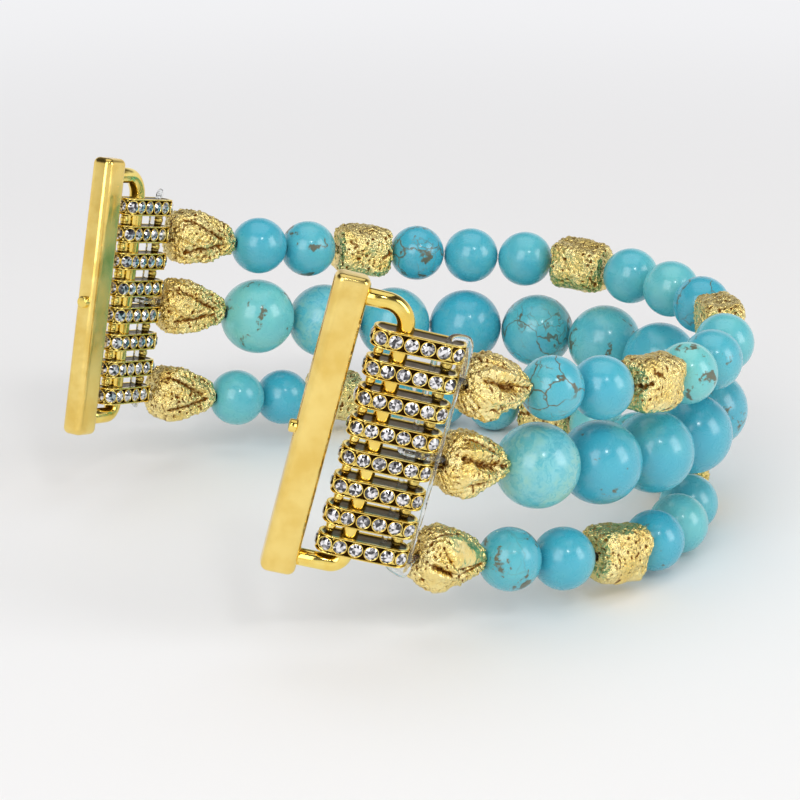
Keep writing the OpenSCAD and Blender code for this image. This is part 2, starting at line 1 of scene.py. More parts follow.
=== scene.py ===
import bpy
import numpy as np
from mathutils import Matrix, Vector


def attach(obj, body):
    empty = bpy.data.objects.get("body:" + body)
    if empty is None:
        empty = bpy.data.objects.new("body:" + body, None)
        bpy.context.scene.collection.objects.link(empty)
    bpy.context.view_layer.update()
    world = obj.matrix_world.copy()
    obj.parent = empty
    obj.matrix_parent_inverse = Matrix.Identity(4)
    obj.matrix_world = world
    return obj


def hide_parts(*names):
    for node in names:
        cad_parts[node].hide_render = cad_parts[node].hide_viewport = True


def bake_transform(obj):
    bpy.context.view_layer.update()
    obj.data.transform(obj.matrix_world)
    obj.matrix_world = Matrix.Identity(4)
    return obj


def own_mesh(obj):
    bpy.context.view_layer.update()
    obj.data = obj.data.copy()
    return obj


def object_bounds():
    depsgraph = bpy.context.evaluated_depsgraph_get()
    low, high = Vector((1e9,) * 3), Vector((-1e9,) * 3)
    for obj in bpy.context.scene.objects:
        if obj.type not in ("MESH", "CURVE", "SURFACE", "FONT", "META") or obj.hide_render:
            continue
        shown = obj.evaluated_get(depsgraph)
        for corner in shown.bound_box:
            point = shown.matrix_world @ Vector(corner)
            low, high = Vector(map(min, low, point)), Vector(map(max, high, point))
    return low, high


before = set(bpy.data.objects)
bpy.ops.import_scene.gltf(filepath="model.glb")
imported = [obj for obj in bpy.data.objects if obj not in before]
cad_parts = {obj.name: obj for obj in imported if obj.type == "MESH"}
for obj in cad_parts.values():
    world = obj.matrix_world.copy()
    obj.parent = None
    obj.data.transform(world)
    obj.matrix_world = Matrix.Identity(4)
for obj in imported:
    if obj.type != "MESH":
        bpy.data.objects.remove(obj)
cad_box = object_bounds()

# Lug bars. Each end of the band ends in a solid tongue that slides into a matching
# slot. It is cast brass, tumbled so that its long edges are soft, plated and bored
# for the two arms of the bail and for the sprung pin.
MM = 0.001
SIDES = ("front", "rear")
stack_origin = np.array([-22.0652, -24.8449, 19.7826])
stack_lean, stack_turn = np.radians(14), np.radians(28)
stack_x = np.array([np.cos(stack_lean) * np.cos(stack_turn),
                    -np.cos(stack_lean) * np.sin(stack_turn), -np.sin(stack_lean)])
stack_y = np.array([np.sin(stack_turn), np.cos(stack_turn), 0.0])
stack_axes = np.array([stack_x, stack_y, np.cross(stack_x, stack_y)])
STACK_TOP = 10.745
LUG_BACK, LUG_FACE, LUG_LOW, LUG_HIGH = -8.62, -5.42, -13.7, 14.7
LUG_THICK, LUG_SOFT, LUG_DRAW = 2.4, 0.8, 0.8


def in_stack(points):
    """Millimetres of a bar stack's own frame (x along the bars to the beads, y inward,
    z up the stack) carried to the front end of the band."""
    return stack_origin + np.asarray(points, float) @ stack_axes


def to_side(points, side):
    """The rear half of the band is the front half mirrored through the plane y = 0."""
    return np.asarray(points, float) * ([1, -1, 1] if side == "rear" else [1, 1, 1])


def circle(count):
    """So many angles, evenly round one full turn."""
    return np.linspace(0, 2 * np.pi, count, endpoint=False)


def unit(vectors):
    return vectors / np.linalg.norm(vectors, axis=-1, keepdims=True)


def skin(points, along=False, start=None, end=None, **marks):
    """A grid of points, copies x rows x columns, closed round its columns and, with along,
    round its rows too, or shut at its first and last row by a fan to a start and an end
    point. Marks are values for every point of the grid."""
    points = np.asarray(points, float)
    if points.ndim == 3:
        points = points[None]
    copies, rows, columns, _ = points.shape
    index = np.arange(copies * rows * columns).reshape(copies, rows, columns)
    right = np.roll(index, -1, 2)
    low, low_right = (index, right) if along else (index[:, :-1], right[:, :-1])
    high, high_right = [np.roll(k, -1, 1) if along else k[:, 1:] for k in (index, right)]
    quads = np.stack([low, low_right, high_right, high], -1).reshape(-1, 4)
    all_points, fans = [points.reshape(-1, 3)], []
    all_marks = {k: [np.broadcast_to(v, index.shape).ravel()] for k, v in marks.items()}
    count = index.size
    for row, tip in ((0, start), (-1, end)):
        if tip is None:
            continue
        tips = np.broadcast_to(np.asarray(tip, float), (copies, 3))
        centre = np.broadcast_to(np.arange(count, count + copies)[:, None], (copies, columns))
        ring, after = index[:, row], np.roll(index[:, row], -1, 1)
        fans.append(np.stack([centre, after, ring] if row == 0 else [centre, ring, after],
                             -1).reshape(-1, 3))
        all_points.append(tips)
        for k, v in marks.items():
            all_marks[k].append(np.broadcast_to(v, index.shape)[:, row].mean(1))
        count += copies
    triangles = np.concatenate(fans) if fans else np.zeros((0, 3), int)
    return {"points": np.concatenate(all_points), "quads": quads, "triangles": triangles,
            "marks": {k: np.concatenate(v) for k, v in all_marks.items()}}


def closed(rows, **marks):
    """Rings in a stack's own frame, carried to the band and shut by a fan at both ends."""
    return skin(in_stack(rows), start=in_stack(rows[0].mean(0)),
                end=in_stack(rows[-1].mean(0)), **marks)


def piece(name, skins, side, material, body, replaced, flat=False):
    """One mesh out of several skins in millimetres, for one side of the band; a mirrored
    side has its faces turned over, so that they still point outward."""
    points = np.concatenate([s["points"] for s in skins])
    starts = np.cumsum([0] + [len(s["points"]) for s in skins[:-1]])
    quads, triangles = [np.concatenate([s[kind] + k for s, k in zip(skins, starts)])
                        for kind in ("quads", "triangles")]
    if side == "rear":
        quads, triangles = quads[:, ::-1], triangles[:, ::-1]
    points = to_side(points, side) * MM
    mesh = bpy.data.meshes.new(name)
    mesh.vertices.add(len(points))
    mesh.vertices.foreach_set("co", points.astype(np.float32).ravel())
    loops = np.concatenate([quads.ravel(), triangles.ravel()]).astype(np.int32)
    sizes = np.concatenate([np.full(len(quads), 4), np.full(len(triangles), 3)])
    mesh.loops.add(len(loops))
    mesh.loops.foreach_set("vertex_index", loops)
    mesh.polygons.add(len(sizes))
    mesh.polygons.foreach_set("loop_start", (np.cumsum(sizes) - sizes).astype(np.int32))
    mesh.polygons.foreach_set("use_smooth", np.full(len(sizes), not flat))
    for mark in sorted({k for s in skins for k in s["marks"]}):
        values = np.concatenate([s["marks"].get(mark, np.zeros(len(s["points"])))
                                 for s in skins])
        mesh.attributes.new(mark, "FLOAT", "POINT").data.foreach_set(
            "value", values.astype(np.float32))
    mesh.update(calc_edges=True)
    mesh.materials.append(material)
    made = bpy.data.objects.new(name, mesh)
    bpy.context.scene.collection.objects.link(made)
    if body:
        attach(made, body)
    if replaced:
        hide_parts(*replaced)
    return made


def paint(red, green, blue):
    """A colour as it looks on a screen, 0 to 255, in the linear light of the shaders."""
    c = np.array([red, green, blue]) / 255
    return (*np.where(c <= 0.04045, c / 12.92, ((c + 0.055) / 1.055) ** 2.4), 1.0)


class Wire:
    """A socket's value in an expression: each operator adds the Math node it stands for."""

    def __init__(self, finish, socket):
        self.finish, self.socket = finish, socket

    def maths(self, operation, *values):
        return self.finish.node("ShaderNodeMath", {"operation": operation}, dict(enumerate(values)))

    def __add__(self, other): return self.maths("ADD", self, other)
    def __sub__(self, other): return self.maths("SUBTRACT", self, other)
    def __mul__(self, other): return self.maths("MULTIPLY", self, other)
    def __truediv__(self, other): return self.maths("DIVIDE", self, other)
    def __radd__(self, other): return self.maths("ADD", other, self)
    def __rsub__(self, other): return self.maths("SUBTRACT", other, self)
    def __rmul__(self, other): return self.maths("MULTIPLY", other, self)
    def least(self, other): return self.maths("MINIMUM", self, other)
    def most(self, other): return self.maths("MAXIMUM", self, other)


class Nodes:
    """A node tree, in which each call makes one node, its settings first, and returns one of
    its outputs as a Wire."""

    def __init__(self, tree):
        self.tree = tree

    def node(self, kind, settings=None, inputs=None, out=0):
        made = self.tree.nodes.new(kind)
        for key, value in (settings or {}).items():
            setattr(made, key, value)
        for key, value in (inputs or {}).items():
            if isinstance(value, Wire):
                self.tree.links.new(value.socket, made.inputs[key])
            else:
                made.inputs[key].default_value = value
        return Wire(self, made.outputs[out])

    def span(self, value, low, high, to_low=0.0, to_high=1.0):
        """Value carried from the span low to high on to the span to_low to to_high."""
        return self.node("ShaderNodeMapRange", {"interpolation_type": "SMOOTHSTEP"}, {
            "Value": value, "From Min": low, "From Max": high,
            "To Min": to_low, "To Max": to_high})

    def mix(self, share, a, b):
        return self.node("ShaderNodeMix", {"data_type": "RGBA"}, {0: share, 6: a, 7: b}, 2)

    def tones(self, value, low, high, first, last):
        """A colour that runs from one paint to another while a value crosses a span."""
        return self.mix(self.span(value, low, high), paint(*first), paint(*last))


class Finish(Nodes):
    """A procedural finish on one Principled shader; what is the same all over the surface
    is set on the shader's own sockets."""

    def __init__(self, name, **constants):
        self.material = bpy.data.materials.new(name)
        self.material.use_nodes = True
        super().__init__(self.material.node_tree)
        self.shader = self.tree.nodes["Principled BSDF"]
        for socket, value in constants.items():
            self.shader.inputs[socket.replace("_", " ")].default_value = value
        self.place = self.node("ShaderNodeTexCoord", out="Object")

    def mark(self, name):
        return self.node("ShaderNodeAttribute", {"attribute_name": name}, out="Fac")

    def noise(self, scale, detail=2.0, roughness=0.5, at=None, distortion=0.0):
        return self.node("ShaderNodeTexNoise", None, {
            "Vector": at or self.place, "Scale": scale, "Detail": detail,
            "Roughness": roughness, "Distortion": distortion})

    def cells(self, scale, feature="F1", at=None):
        return self.node("ShaderNodeTexVoronoi", {"feature": feature},
                         {"Vector": at or self.place, "Scale": scale})

    def moved(self, vector, other, share=1.0):
        """A place moved by a share of another vector."""
        return self.node("ShaderNodeVectorMath", {"operation": "MULTIPLY_ADD"},
                         {0: other, 1: (share, share, share), 2: vector})

    def bump(self, height, strength, distance):
        return self.node("ShaderNodeBump", None, {
            "Strength": strength, "Distance": distance, "Height": height})

    def feed(self, **values):
        for socket, value in values.items():
            self.tree.links.new(value.socket, self.shader.inputs[socket.replace("_", " ")])
        return self.material


def polished_gold():
    """Plated brass polished to a mirror: faint haze, hairlines left by the buffing, and painted
    shade, dark brown and rougher, where a mark says that shade falls."""
    gold = Finish("polished_gold", Metallic=1.0)
    haze, hairlines = gold.noise(260, 3, 0.6), gold.noise(2600, 2, 0.6)
    hollow = gold.mark("hollow")
    bright = gold.tones(haze, 0.3, 0.7, (242, 206, 98), (255, 233, 138))
    return gold.feed(
        # Painted shade: the mark turns the gold dark brown in recesses, cups, posts and grooves.
        Base_Color=gold.mix(gold.span(hollow, 0.1, 0.9), bright, paint(54, 34, 8)),
        Roughness=0.09 + gold.span(hairlines, 0.35, 0.75) * 0.08 + hollow * 0.4,
        Normal=gold.bump(hairlines, 0.05, 0.00002))


def satin_gold():
    """The same plate over a tumbled casting: softer gloss, shallow ripples that bend what it
    mirrors, and a fine orange-peel grain."""
    gold = Finish("satin_gold", Metallic=1.0)
    cloud, ripple, grain = gold.noise(300, 3, 0.6), gold.noise(520, 1), gold.noise(3400, 2, 0.6)
    return gold.feed(
        Base_Color=gold.tones(cloud, 0.3, 0.7, (236, 200, 104), (250, 222, 134)),
        Roughness=0.15 + gold.span(cloud, 0.3, 0.7) * 0.1,
        Normal=gold.bump(ripple * 0.7 + grain * 0.03, 0.3, 0.0002))


bright_gold = polished_gold()
cast_gold = satin_gold()

for side in SIDES:
    # A block with its long edges rounded: a soft-cornered section carried along z, drawn
    # in at both ends by a share of the same soft radius.
    turns = circle(64)
    corner_x = (LUG_FACE - LUG_BACK) / 2 - LUG_SOFT
    corner_y = LUG_THICK / 2 - LUG_SOFT
    rise = np.concatenate([np.linspace(-np.pi / 2, 0, 6), np.linspace(0, np.pi / 2, 6)])
    inset = LUG_SOFT * (1 - np.cos(rise)) * LUG_DRAW
    low_end = np.arange(len(rise)) < 6
    heights = np.where(low_end, LUG_LOW, LUG_HIGH) - LUG_SOFT * LUG_DRAW * np.where(
        low_end, -1 - np.sin(rise), 1 - np.sin(rise))
    soft = LUG_SOFT - inset[:, None]
    rows_x = (LUG_BACK + LUG_FACE) / 2 + np.sign(np.cos(turns)) * corner_x + soft * np.cos(turns)
    rows_y = np.sign(np.sin(turns)) * corner_y + soft * np.sin(turns)
    rows_z = np.broadcast_to(heights[:, None], rows_x.shape)
    piece(f"{side}_lug_tongue", [closed(np.stack([rows_x, rows_y, rows_z], -1))], side,
          cast_gold, f"{side}_lug", [f"{side}_lug_bar"])

# Lock pins. A turned pin with a domed nose stands out of the back of each lug bar and
# clicks into a notch in that slot. It is bright plated brass, turned with the collar
# that keeps it in.
PIN_NOSE, PIN_R, COLLAR_R, NOSE_SOFT = -9.22, 0.6, 0.85, 0.2
SHANK_END, COLLAR_START, PIN_END = 1.30, 1.32, 1.62


def turned(profile, start, axis, count=40):
    """A lathe-turned skin: radius and distance along the axis, from start, swept round."""
    axis = unit(np.asarray(axis, float))
    u = unit(np.cross(axis, [0.0, 0.0, 1.0] if abs(axis[2]) < 0.9 else [1.0, 0.0, 0.0]))
    w = np.cross(axis, u)
    a = circle(count)[:, None]
    ring = np.cos(a) * u + np.sin(a) * w
    profile = np.asarray(profile, float)
    return start + profile[:, None, 1:] * axis + profile[:, None, :1] * ring


for side in SIDES:
    nose = np.linspace(0, np.pi / 2, 7)[1:]
    profile = np.concatenate([
        np.stack([PIN_R - NOSE_SOFT + NOSE_SOFT * np.sin(nose),
                  NOSE_SOFT - NOSE_SOFT * np.cos(nose)], -1),
        [[PIN_R, SHANK_END], [COLLAR_R, COLLAR_START], [COLLAR_R, PIN_END]]])
    rows = turned(profile, np.array([PIN_NOSE, 0, 0]), [1, 0, 0])
    piece(f"{side}_click_pin", [skin(in_stack(rows), start=in_stack([PIN_NOSE, 0, 0]),
                                     end=in_stack([PIN_NOSE + PIN_END, 0, 0]))],
          side, bright_gold, f"{side}_pin", [f"{side}_lock_pin"])

# Lock springs. A little coil of music wire behind each pin, shut in the
# lug bar's chamber between the pin's collar and the chamber floor.
SPRING_START, SPRING_RUN, SPRING_R, SPRING_WIRE, SPRING_TURNS = -7.5, 1.58, 0.65, 0.1, 4


def tube(path, radius, count):
    """A round tube of the given radius along a path: each ring stands square to the mean of
    the two spans at its point, and its start direction is carried on without a twist."""
    path = np.asarray(path, float)
    spans = unit(np.diff(path, axis=0))
    ahead = unit(np.concatenate([spans[:1], spans[1:] + spans[:-1], spans[-1:]]))
    side_way = np.cross(ahead[0], [0.0, 0.0, 1.0] if abs(ahead[0, 2]) < 0.8 else [1.0, 0.0, 0.0])
    carried = []
    for direction in ahead:
        side_way = unit(side_way - direction * (side_way @ direction))
        carried.append(side_way)
    carried = np.array(carried)[:, None]
    other = np.cross(ahead[:, None], carried)
    a = circle(count)[None, :, None]
    radius = np.broadcast_to(radius, len(path))[:, None, None]
    return path[:, None] + radius * (np.cos(a) * carried + np.sin(a) * other)


def capped_tube(path, radius, count):
    return skin(tube(path, radius, count), start=path[0], end=path[-1])


def drawn_steel():
    """Bright spring wire: grey and glossy, with fine marks left by the drawing die."""
    steel = Finish("drawn_steel", Metallic=1.0)
    streaks = steel.noise(3000, 2, 0.6)
    return steel.feed(
        Base_Color=steel.mix(streaks, paint(150, 151, 154), paint(204, 205, 208)),
        Roughness=0.22 + streaks * 0.15, Normal=steel.bump(streaks, 0.08, 0.00002))


spring_steel = drawn_steel()

for side in SIDES:
    t = np.linspace(0, 1, 161)[:, None]
    a = t * SPRING_TURNS * 2 * np.pi
    coil = np.concatenate([SPRING_START + SPRING_RUN * t, SPRING_R * np.cos(a),
                           SPRING_R * np.sin(a)], 1)
    spring = piece(f"{side}_click_spring", [capped_tube(in_stack(coil), SPRING_WIRE, 10)],
                   side, spring_steel, f"{side}_lug", [f"{side}_lock_spring"])
    floor_x = SPRING_START + SPRING_RUN + SPRING_WIRE
    to_side(stack_x, side)
    to_side(in_stack([floor_x, 0, 0]), side) * MM
    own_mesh(spring)

# Bails. One length of round wire, bent to a squared hoop: it runs straight down
# through the bars, turns two corners and ends in the lug bar. Plated brass, polished.
BAIL_X, WIRE_R = -1.46, 0.8
ARM_TOP, ARM_LOW, TOP_BEND, LOW_BEND, ARM_END = 13.0, -12.0, 2.2, 1.2, -7.92

for side in SIDES:
    bend = np.linspace(0, np.pi / 2, 17)
    top_corner = np.stack([BAIL_X - TOP_BEND + TOP_BEND * np.sin(bend), 0 * bend,
                           ARM_TOP - TOP_BEND + TOP_BEND * np.cos(bend)], -1)
    low_corner = np.stack([BAIL_X - LOW_BEND + LOW_BEND * np.cos(bend), 0 * bend,
                           ARM_LOW + LOW_BEND - LOW_BEND * np.sin(bend)], -1)
    straight = np.linspace(ARM_TOP - TOP_BEND, ARM_LOW + LOW_BEND, 40)[1:-1]
    run = np.stack([0 * straight + BAIL_X, 0 * straight, straight], -1)
    path = np.concatenate([[[ARM_END, 0, ARM_TOP]], top_corner, run, low_corner,
                           [[ARM_END, 0, ARM_LOW]]])
    piece(f"{side}_wire_bail", [capped_tube(in_stack(path), WIRE_R, 40)],
          side, bright_gold, f"{side}_lug", [f"{side}_bail"])

# Stone bars. Eight flat bars stand in each stack. A bar is a core between two thin wire
# rails, with fourteen cups for stones round its edge, all soldered, plated together and
# polished; short posts hold the bars apart.
BAR_PITCH, BAR_H, BAR_R, STONE_PITCH = 2.82, 1.75, 1.3, 1.46
ARC_X, POCKET, RAIL, CUP_R, STONE_R, SEAT = 2.92, 0.28, 0.16, 0.7, 0.6, 0.18
# The core's painted shade is full over a half length each side of the middle, and fades over a
# further length towards the bar's ends.
FACE_SUNK, CORE_SHADE_HALF, CORE_SHADE_FADE, LAST_BAR, MIDDLE_BAR = 0.06, 1.5, 1.2, 8, 4.5
# Each post's place along the bar, its waist, its swell, its number of sides and its painted shade.
POSTS = ((2.87, 0.36, 0.2, 8, 0.38), (-3.27, 0.26, 0.19, 20, 0.2))
# The grooves' place from the post's middle, their half width and depth, and the painted shade in
# them.
GROOVE_AT, GROOVE_HALF, GROOVE_DEPTH, GROOVE_SHADE = 0.22, 0.05, 0.2, 0.3


def stadium(radius, arc=22, line=14):
    """Outline of a bar's flat side: two half circles joined by straight lines, with the same
    number of points at every radius."""
    radius = np.asarray(radius, float)[..., None]
    right = np.linspace(-np.pi / 2, np.pi / 2, arc)
    left = right + np.pi
    top = np.linspace(ARC_X, -ARC_X, line)[1:-1]
    x = np.concatenate([ARC_X + radius * np.cos(right), top + 0 * radius,
                        radius * np.cos(left) - ARC_X, 0 * radius - top], -1)
    y = np.concatenate([radius * np.sin(right), radius + 0 * top,
                        radius * np.sin(left), 0 * top - radius], -1)
    return x, y


def bar_body():
    """Core and rails in one profile, from the middle of the bottom to the middle of the top,
    carried round the stadium outline. Each rail's edge is a half round. The flat sides within
    the rails and the core are marked for painted shade; on the core it is lighter towards the
    bar's ends."""
    half, wire, core, sunk = BAR_H / 2, RAIL / 2, BAR_R - POCKET, BAR_R - 2 * RAIL
    edge = np.linspace(-np.pi / 2, np.pi / 2, 7)
    rail_r = BAR_R - wire + wire * np.cos(edge)
    radii = np.concatenate([[0.3, sunk - 0.04, sunk], rail_r,
                            [core + 0.03, core, core, core + 0.03], rail_r,
                            [sunk, sunk - 0.04, 0.3]])
    low_z = -half + wire + wire * np.sin(edge)
    heights = np.concatenate([[FACE_SUNK - half, FACE_SUNK - half, -half], low_z, [
        low_z[-1], low_z[-1] + 0.05, -low_z[-1] - 0.05, -low_z[-1]], low_z + BAR_H - RAIL,
        [half, half - FACE_SUNK, half - FACE_SUNK]])
    # Painted shade on the sunk flat sides and on the core; on the core it grows lighter towards the
    # bar's ends.
    hollow = np.concatenate([[0.75, 0.75, 0], 0 * edge, [1, 1, 1, 1], 0 * edge, [0, 0.75, 0.75]])
    x, y = stadium(radii)
    shade_lift = np.clip((np.abs(x) - CORE_SHADE_HALF) / CORE_SHADE_FADE, 0, 1)
    hollow = np.where(hollow[:, None] == 1, 1 - 0.8 * shade_lift, hollow[:, None])
    return np.stack([x, y, np.broadcast_to(heights[:, None], x.shape)], -1), hollow


def stone_places():
    """Feet, outward and sideways directions of the fourteen stones of one bar: four on each
    long side and three round each end."""
    feet, out = [], []
    for j in (-1.5, -0.5, 0.5, 1.5):
        feet += [[j * STONE_PITCH, 0, 0]] * 2
        out += [[0, -1, 0], [0, 1, 0]]
    for angle in np.radians([-60, 0, 60]):
        feet += [[ARC_X, 0, 0], [-ARC_X, 0, 0]]
        out += [[np.cos(angle), np.sin(angle), 0], [-np.cos(angle), np.sin(angle), 0]]
    out = np.array(out)
    return np.array(feet, float), out, np.cross([0, 0, 1.0], out)


def on_stones(profile, count):
    """A profile of radius and height, swept round the axis of each of the fourteen stones."""
    feet, out, sideways = stone_places()
    a = circle(count)
    ring = np.cos(a)[None, :, None] * sideways[:, None] + np.sin(a)[None, :, None] * [0, 0, 1.0]
    profile = np.asarray(profile, float)
    centre = feet[:, None] + out[:, None] * (BAR_R + profile[None, :, 1:])
    return centre[:, :, None] + profile[None, :, None, :1] * ring[:, None], centre


def bar_skins(number):
    """All the skins of one bar at its height in the stack: its body, the fourteen cups and,
    below it, an eight-sided post near the beads and a round one near the bail. Each post
    swells in the middle and has two turned grooves. Cups, posts and grooves carry painted shade."""
    lift = np.array([0, 0, (MIDDLE_BAR - number) * BAR_PITCH])
    body, hollow = bar_body()
    body = body + lift
    skins = [closed(body, hollow=hollow)]
    round_rim = np.linspace(0, np.pi, 7)
    middle, lip = (CUP_R + STONE_R) / 2, (CUP_R - STONE_R) / 2
    rim = np.stack([middle + lip * np.cos(round_rim), lip * np.sin(round_rim) - lip], -1)
    profile = np.concatenate([[[CUP_R, -POCKET - 0.1], [CUP_R, -0.16]], rim, [[STONE_R, -SEAT]]])
    # Painted shade on each cup's side down in the pocket and on its inner wall down to the stone;
    # none on the rim.
    hollow = np.array([1, 0.7, *(0 * round_rim), 0.8])[:, None]
    cups, centre = on_stones(profile, 24)
    skins.append(skin(in_stack(cups + lift), start=in_stack(centre[:, 0] + lift),
                      end=in_stack(centre[:, -1] + lift), hollow=hollow))
    if number < LAST_BAR:
        foot = lift - [0, 0, BAR_H / 2]
        share = np.linspace(-0.06, 1.06, 15)
        down = share * (BAR_PITCH - BAR_H)
        belly = np.sqrt(np.clip(1 - (2 * share - 1) ** 2, 0, 1))
        # Painted shade in the grooves, on top of each post's own painted shade.
        groove = GROOVE_SHADE * (np.abs(np.abs(share - 0.5) - GROOVE_AT) < GROOVE_HALF)
        for x, waist, bulge, count, post_shade in POSTS:
            radius = waist + bulge * belly - GROOVE_DEPTH * groove
            rows = turned(np.stack([radius, down], -1), foot + [x, 0, 0], [0, 0, -1], count)
            skins.append(closed(rows, hollow=(post_shade + groove)[:, None]))
    return skins


for side in SIDES:
    for number in range(1, LAST_BAR + 1):
        piece(f"{side}_cup_bar_{number}", bar_skins(number), side, bright_gold,
              f"{side}_stack", [f"{side}_stone_bar_{number}"])

# Rhinestones. Each cup holds one round brilliant of clear glass with a mirror foil on
# its back, glued on the cup's floor: eight table facets, and a crown cut in two rows.
CROWN, TABLE_R = 0.14, 0.36


def brilliant_stones():
    """Points and faces of the fourteen stones of all eight bars: a table centre, eight table
    corners, sixteen girdle corners, the same sixteen below, and the middle of the back."""
    feet, out, sideways = stone_places()
    numbers = np.arange(1, LAST_BAR + 1)[:, None, None]
    lifts = (MIDDLE_BAR - numbers) * BAR_PITCH * np.array([0, 0, 1.0])
    feet = (feet[None] + lifts).reshape(-1, 3)
    out, sideways = [np.tile(v, (LAST_BAR, 1)) for v in (out, sideways)]
    eighths, sixteenths = np.arange(8) * np.pi / 4, np.arange(16) * np.pi / 8
    a = np.concatenate([[0], eighths, sixteenths, sixteenths, [0]])
    r = np.concatenate([[0], np.full(8, TABLE_R), np.full(32, STONE_R), [0]])
    h = np.concatenate([np.full(9, CROWN), np.full(16, -0.03), np.full(17, -SEAT)])
    points = (feet[:, None] + (BAR_R + h)[None, :, None] * out[:, None]
              + (r * np.cos(a))[None, :, None] * sideways[:, None]
              + (r * np.sin(a))[None, :, None] * [0, 0, 1.0])
    j = np.arange(8)
    k = (j + 1) % 8
    n = np.arange(16)
    m = (n + 1) % 16
    before = (2 * j - 1) % 16
    table, girdle, foot, back, count = 1, 9, 25, 41, 42
    triangles = np.concatenate([
        np.stack([0 * j, table + j, table + k], -1),
        np.stack([table + j, girdle + before, girdle + 2 * j], -1),
        np.stack([table + j, girdle + 2 * j, girdle + 2 * j + 1], -1),
        np.stack([table + j, girdle + 2 * j + 1, table + k], -1),
        np.stack([0 * n + back, foot + m, foot + n], -1)])
    quads = np.stack([foot + n, foot + m, girdle + m, girdle + n], -1)
    shift = (np.arange(len(points)) * count)[:, None, None]
    return {"points": in_stack(points.reshape(-1, 3)), "quads": (quads + shift).reshape(-1, 4),
            "triangles": (triangles + shift).reshape(-1, 3), "marks": {}}


def foiled_crystal():
    """Clear glass over foil: each facet carries a painted reflection, a random grey from white
    to a near black, under a hard clear gloss."""
    crystal = Finish("foiled_crystal", Metallic=0.8, Coat_Weight=1.0, Coat_Roughness=0.02)
    facet = crystal.mark("facet")
    return crystal.feed(
        Base_Color=crystal.tones(facet, 0.22, 0.78, (50, 48, 52), (246, 244, 246)),
        Roughness=0.05 + facet * 0.12)


crystal_finish = foiled_crystal()
WALL_FACES, STONE_FACES, TABLE_FACES, CROWN_FACES = 8 * 14 * 16, 48, 8, 24
for side in SIDES:
    stones = piece(f"{side}_brilliants", [brilliant_stones()], side, crystal_finish,
                   f"{side}_stack", [f"{side}_rhinestones"], flat=True)
    # Painted reflection: each facet gets a random brightness, the crown's a little darker.
    facets = np.random.default_rng(5).random(len(stones.data.polygons))
    place = (np.arange(len(facets)) - WALL_FACES) % STONE_FACES
    on_crown = (place >= TABLE_FACES) & (place < TABLE_FACES + CROWN_FACES)
    facets *= np.where(on_crown, 0.82, 1.0)
    stones.data.attributes.new("facet", "FLOAT", "FACE").data.foreach_set(
        "value", facets.astype(np.float32))

# End nuggets. At each end of the three strands sits a tapered gold nugget, cast from a
# natural crumpled one, with painted shade that turns its pits and gashes brown. Its wide
# end takes the knotted elastic in a mouth, and its tip meets the last bead.
top_points = np.array([
    [29.65, -3.05, 19.5], [28.1542, -8.96377, 19.5], [24.8213, -14.9196, 19.5],
    [20.5633, -19.2875, 19.5402], [15.3697, -22.4746, 19.8197], [9.72926, -24.7388, 20.3384],
    [3.11802, -26.1968, 21.2024], [-2.88689, -26.5116, 22.2281], [-8.84605, -26.8252, 23.493],
    [-16.4253, -27.8202, 25.4868]])
middle_points = np.array([
    [28.6, -4.1, 11.7], [25.7325, -11.7823, 11.7], [20.3597, -17.9768, 11.7],
    [13.1678, -21.8971, 12.0857], [5.39463, -24.3608, 12.9506], [-2.60509, -25.5599, 14.2947],
    [-10.5794, -26.1308, 16.1179], [-18.1099, -27.0352, 18.3277]])
bottom_points = np.array([
    [25.75, -3.05, 3], [24.3197, -8.97994, 3], [21.1232, -15.0101, 3],
    [17.0184, -19.5222, 3.04054], [11.9753, -22.9424, 3.32233], [6.33557, -25.2074, 3.84538],
    [-0.348081, -26.28, 4.71657], [-6.3476, -25.8976, 5.75081], [-12.3018, -25.5367, 7.0263],
    [-19.9324, -25.9152, 9.03671]])
SMALL_GAP, BORE_R = 0.1, 0.5
CONE_LEN, CONE_W, LIP_R, DISH_R = 7.8, 6.2, 0.6, 2.5
FRONT_TURN = np.radians(103)
PIT_SIZE, PEBBLE, FINE_PEBBLE, SWELL, SWELL_RISE, SUNK = 0.13, 0.62, 0.4, 2.4, 0.06, 0.07


def span_frame(points, number):
    """Start, direction and two cross directions of one span of a strand; the first of these
    leans down, and a nugget's turns are counted from it, as in the CAD."""
    a, b = points[number], points[number + 1]
    v = unit(b - a)
    tilt, way = np.arccos(v[2]), np.arctan2(v[1], v[0])
    u = np.array([np.cos(tilt) * np.cos(way), np.cos(tilt) * np.sin(way), -np.sin(tilt)])
    return a, v, u, np.cross(v, u)


def oval(turns, width, thick, power):
    """Radius of a squared oval: the closer to a box, the higher the power."""
    return ((np.abs(np.cos(turns)) * 2 / width) ** power
            + (np.abs(np.sin(turns)) * 2 / thick) ** power) ** (-1 / power)


def crumple(turns, height, seed):
    """Share of the full radius that is left by the same slow crumples as in the CAD."""
    t, s = np.degrees(turns), height
    wave = lambda k, g, c: 1 + np.sin(np.radians(k * t + g * s + c * seed))
    return 1 - 0.045 * wave(2, 140, 77) * wave(3, -95, 41) / 2 - 0.02 * wave(5, 210, 19)


def seen(along, down):
    """A spot on a nugget as it is seen from the front: along from its wide end and down from
    its top edge, both as shares, carried to a turn about its axis and a height from its tip."""
    return FRONT_TURN + np.arcsin(1 - 2 * down), 1 - along


def outward(points):
    """Unit normals of a grid closed both ways, column step crossed with row step, and the
    size of each point's own patch."""
    across = np.roll(points, -1, 1) - np.roll(points, 1, 1)
    along = np.roll(points, -1, 0) - np.roll(points, 1, 0)
    normals = np.cross(across, along)
    size = np.maximum(np.linalg.norm(normals, axis=-1), 1e-9)
    return normals / size[..., None], size / 4


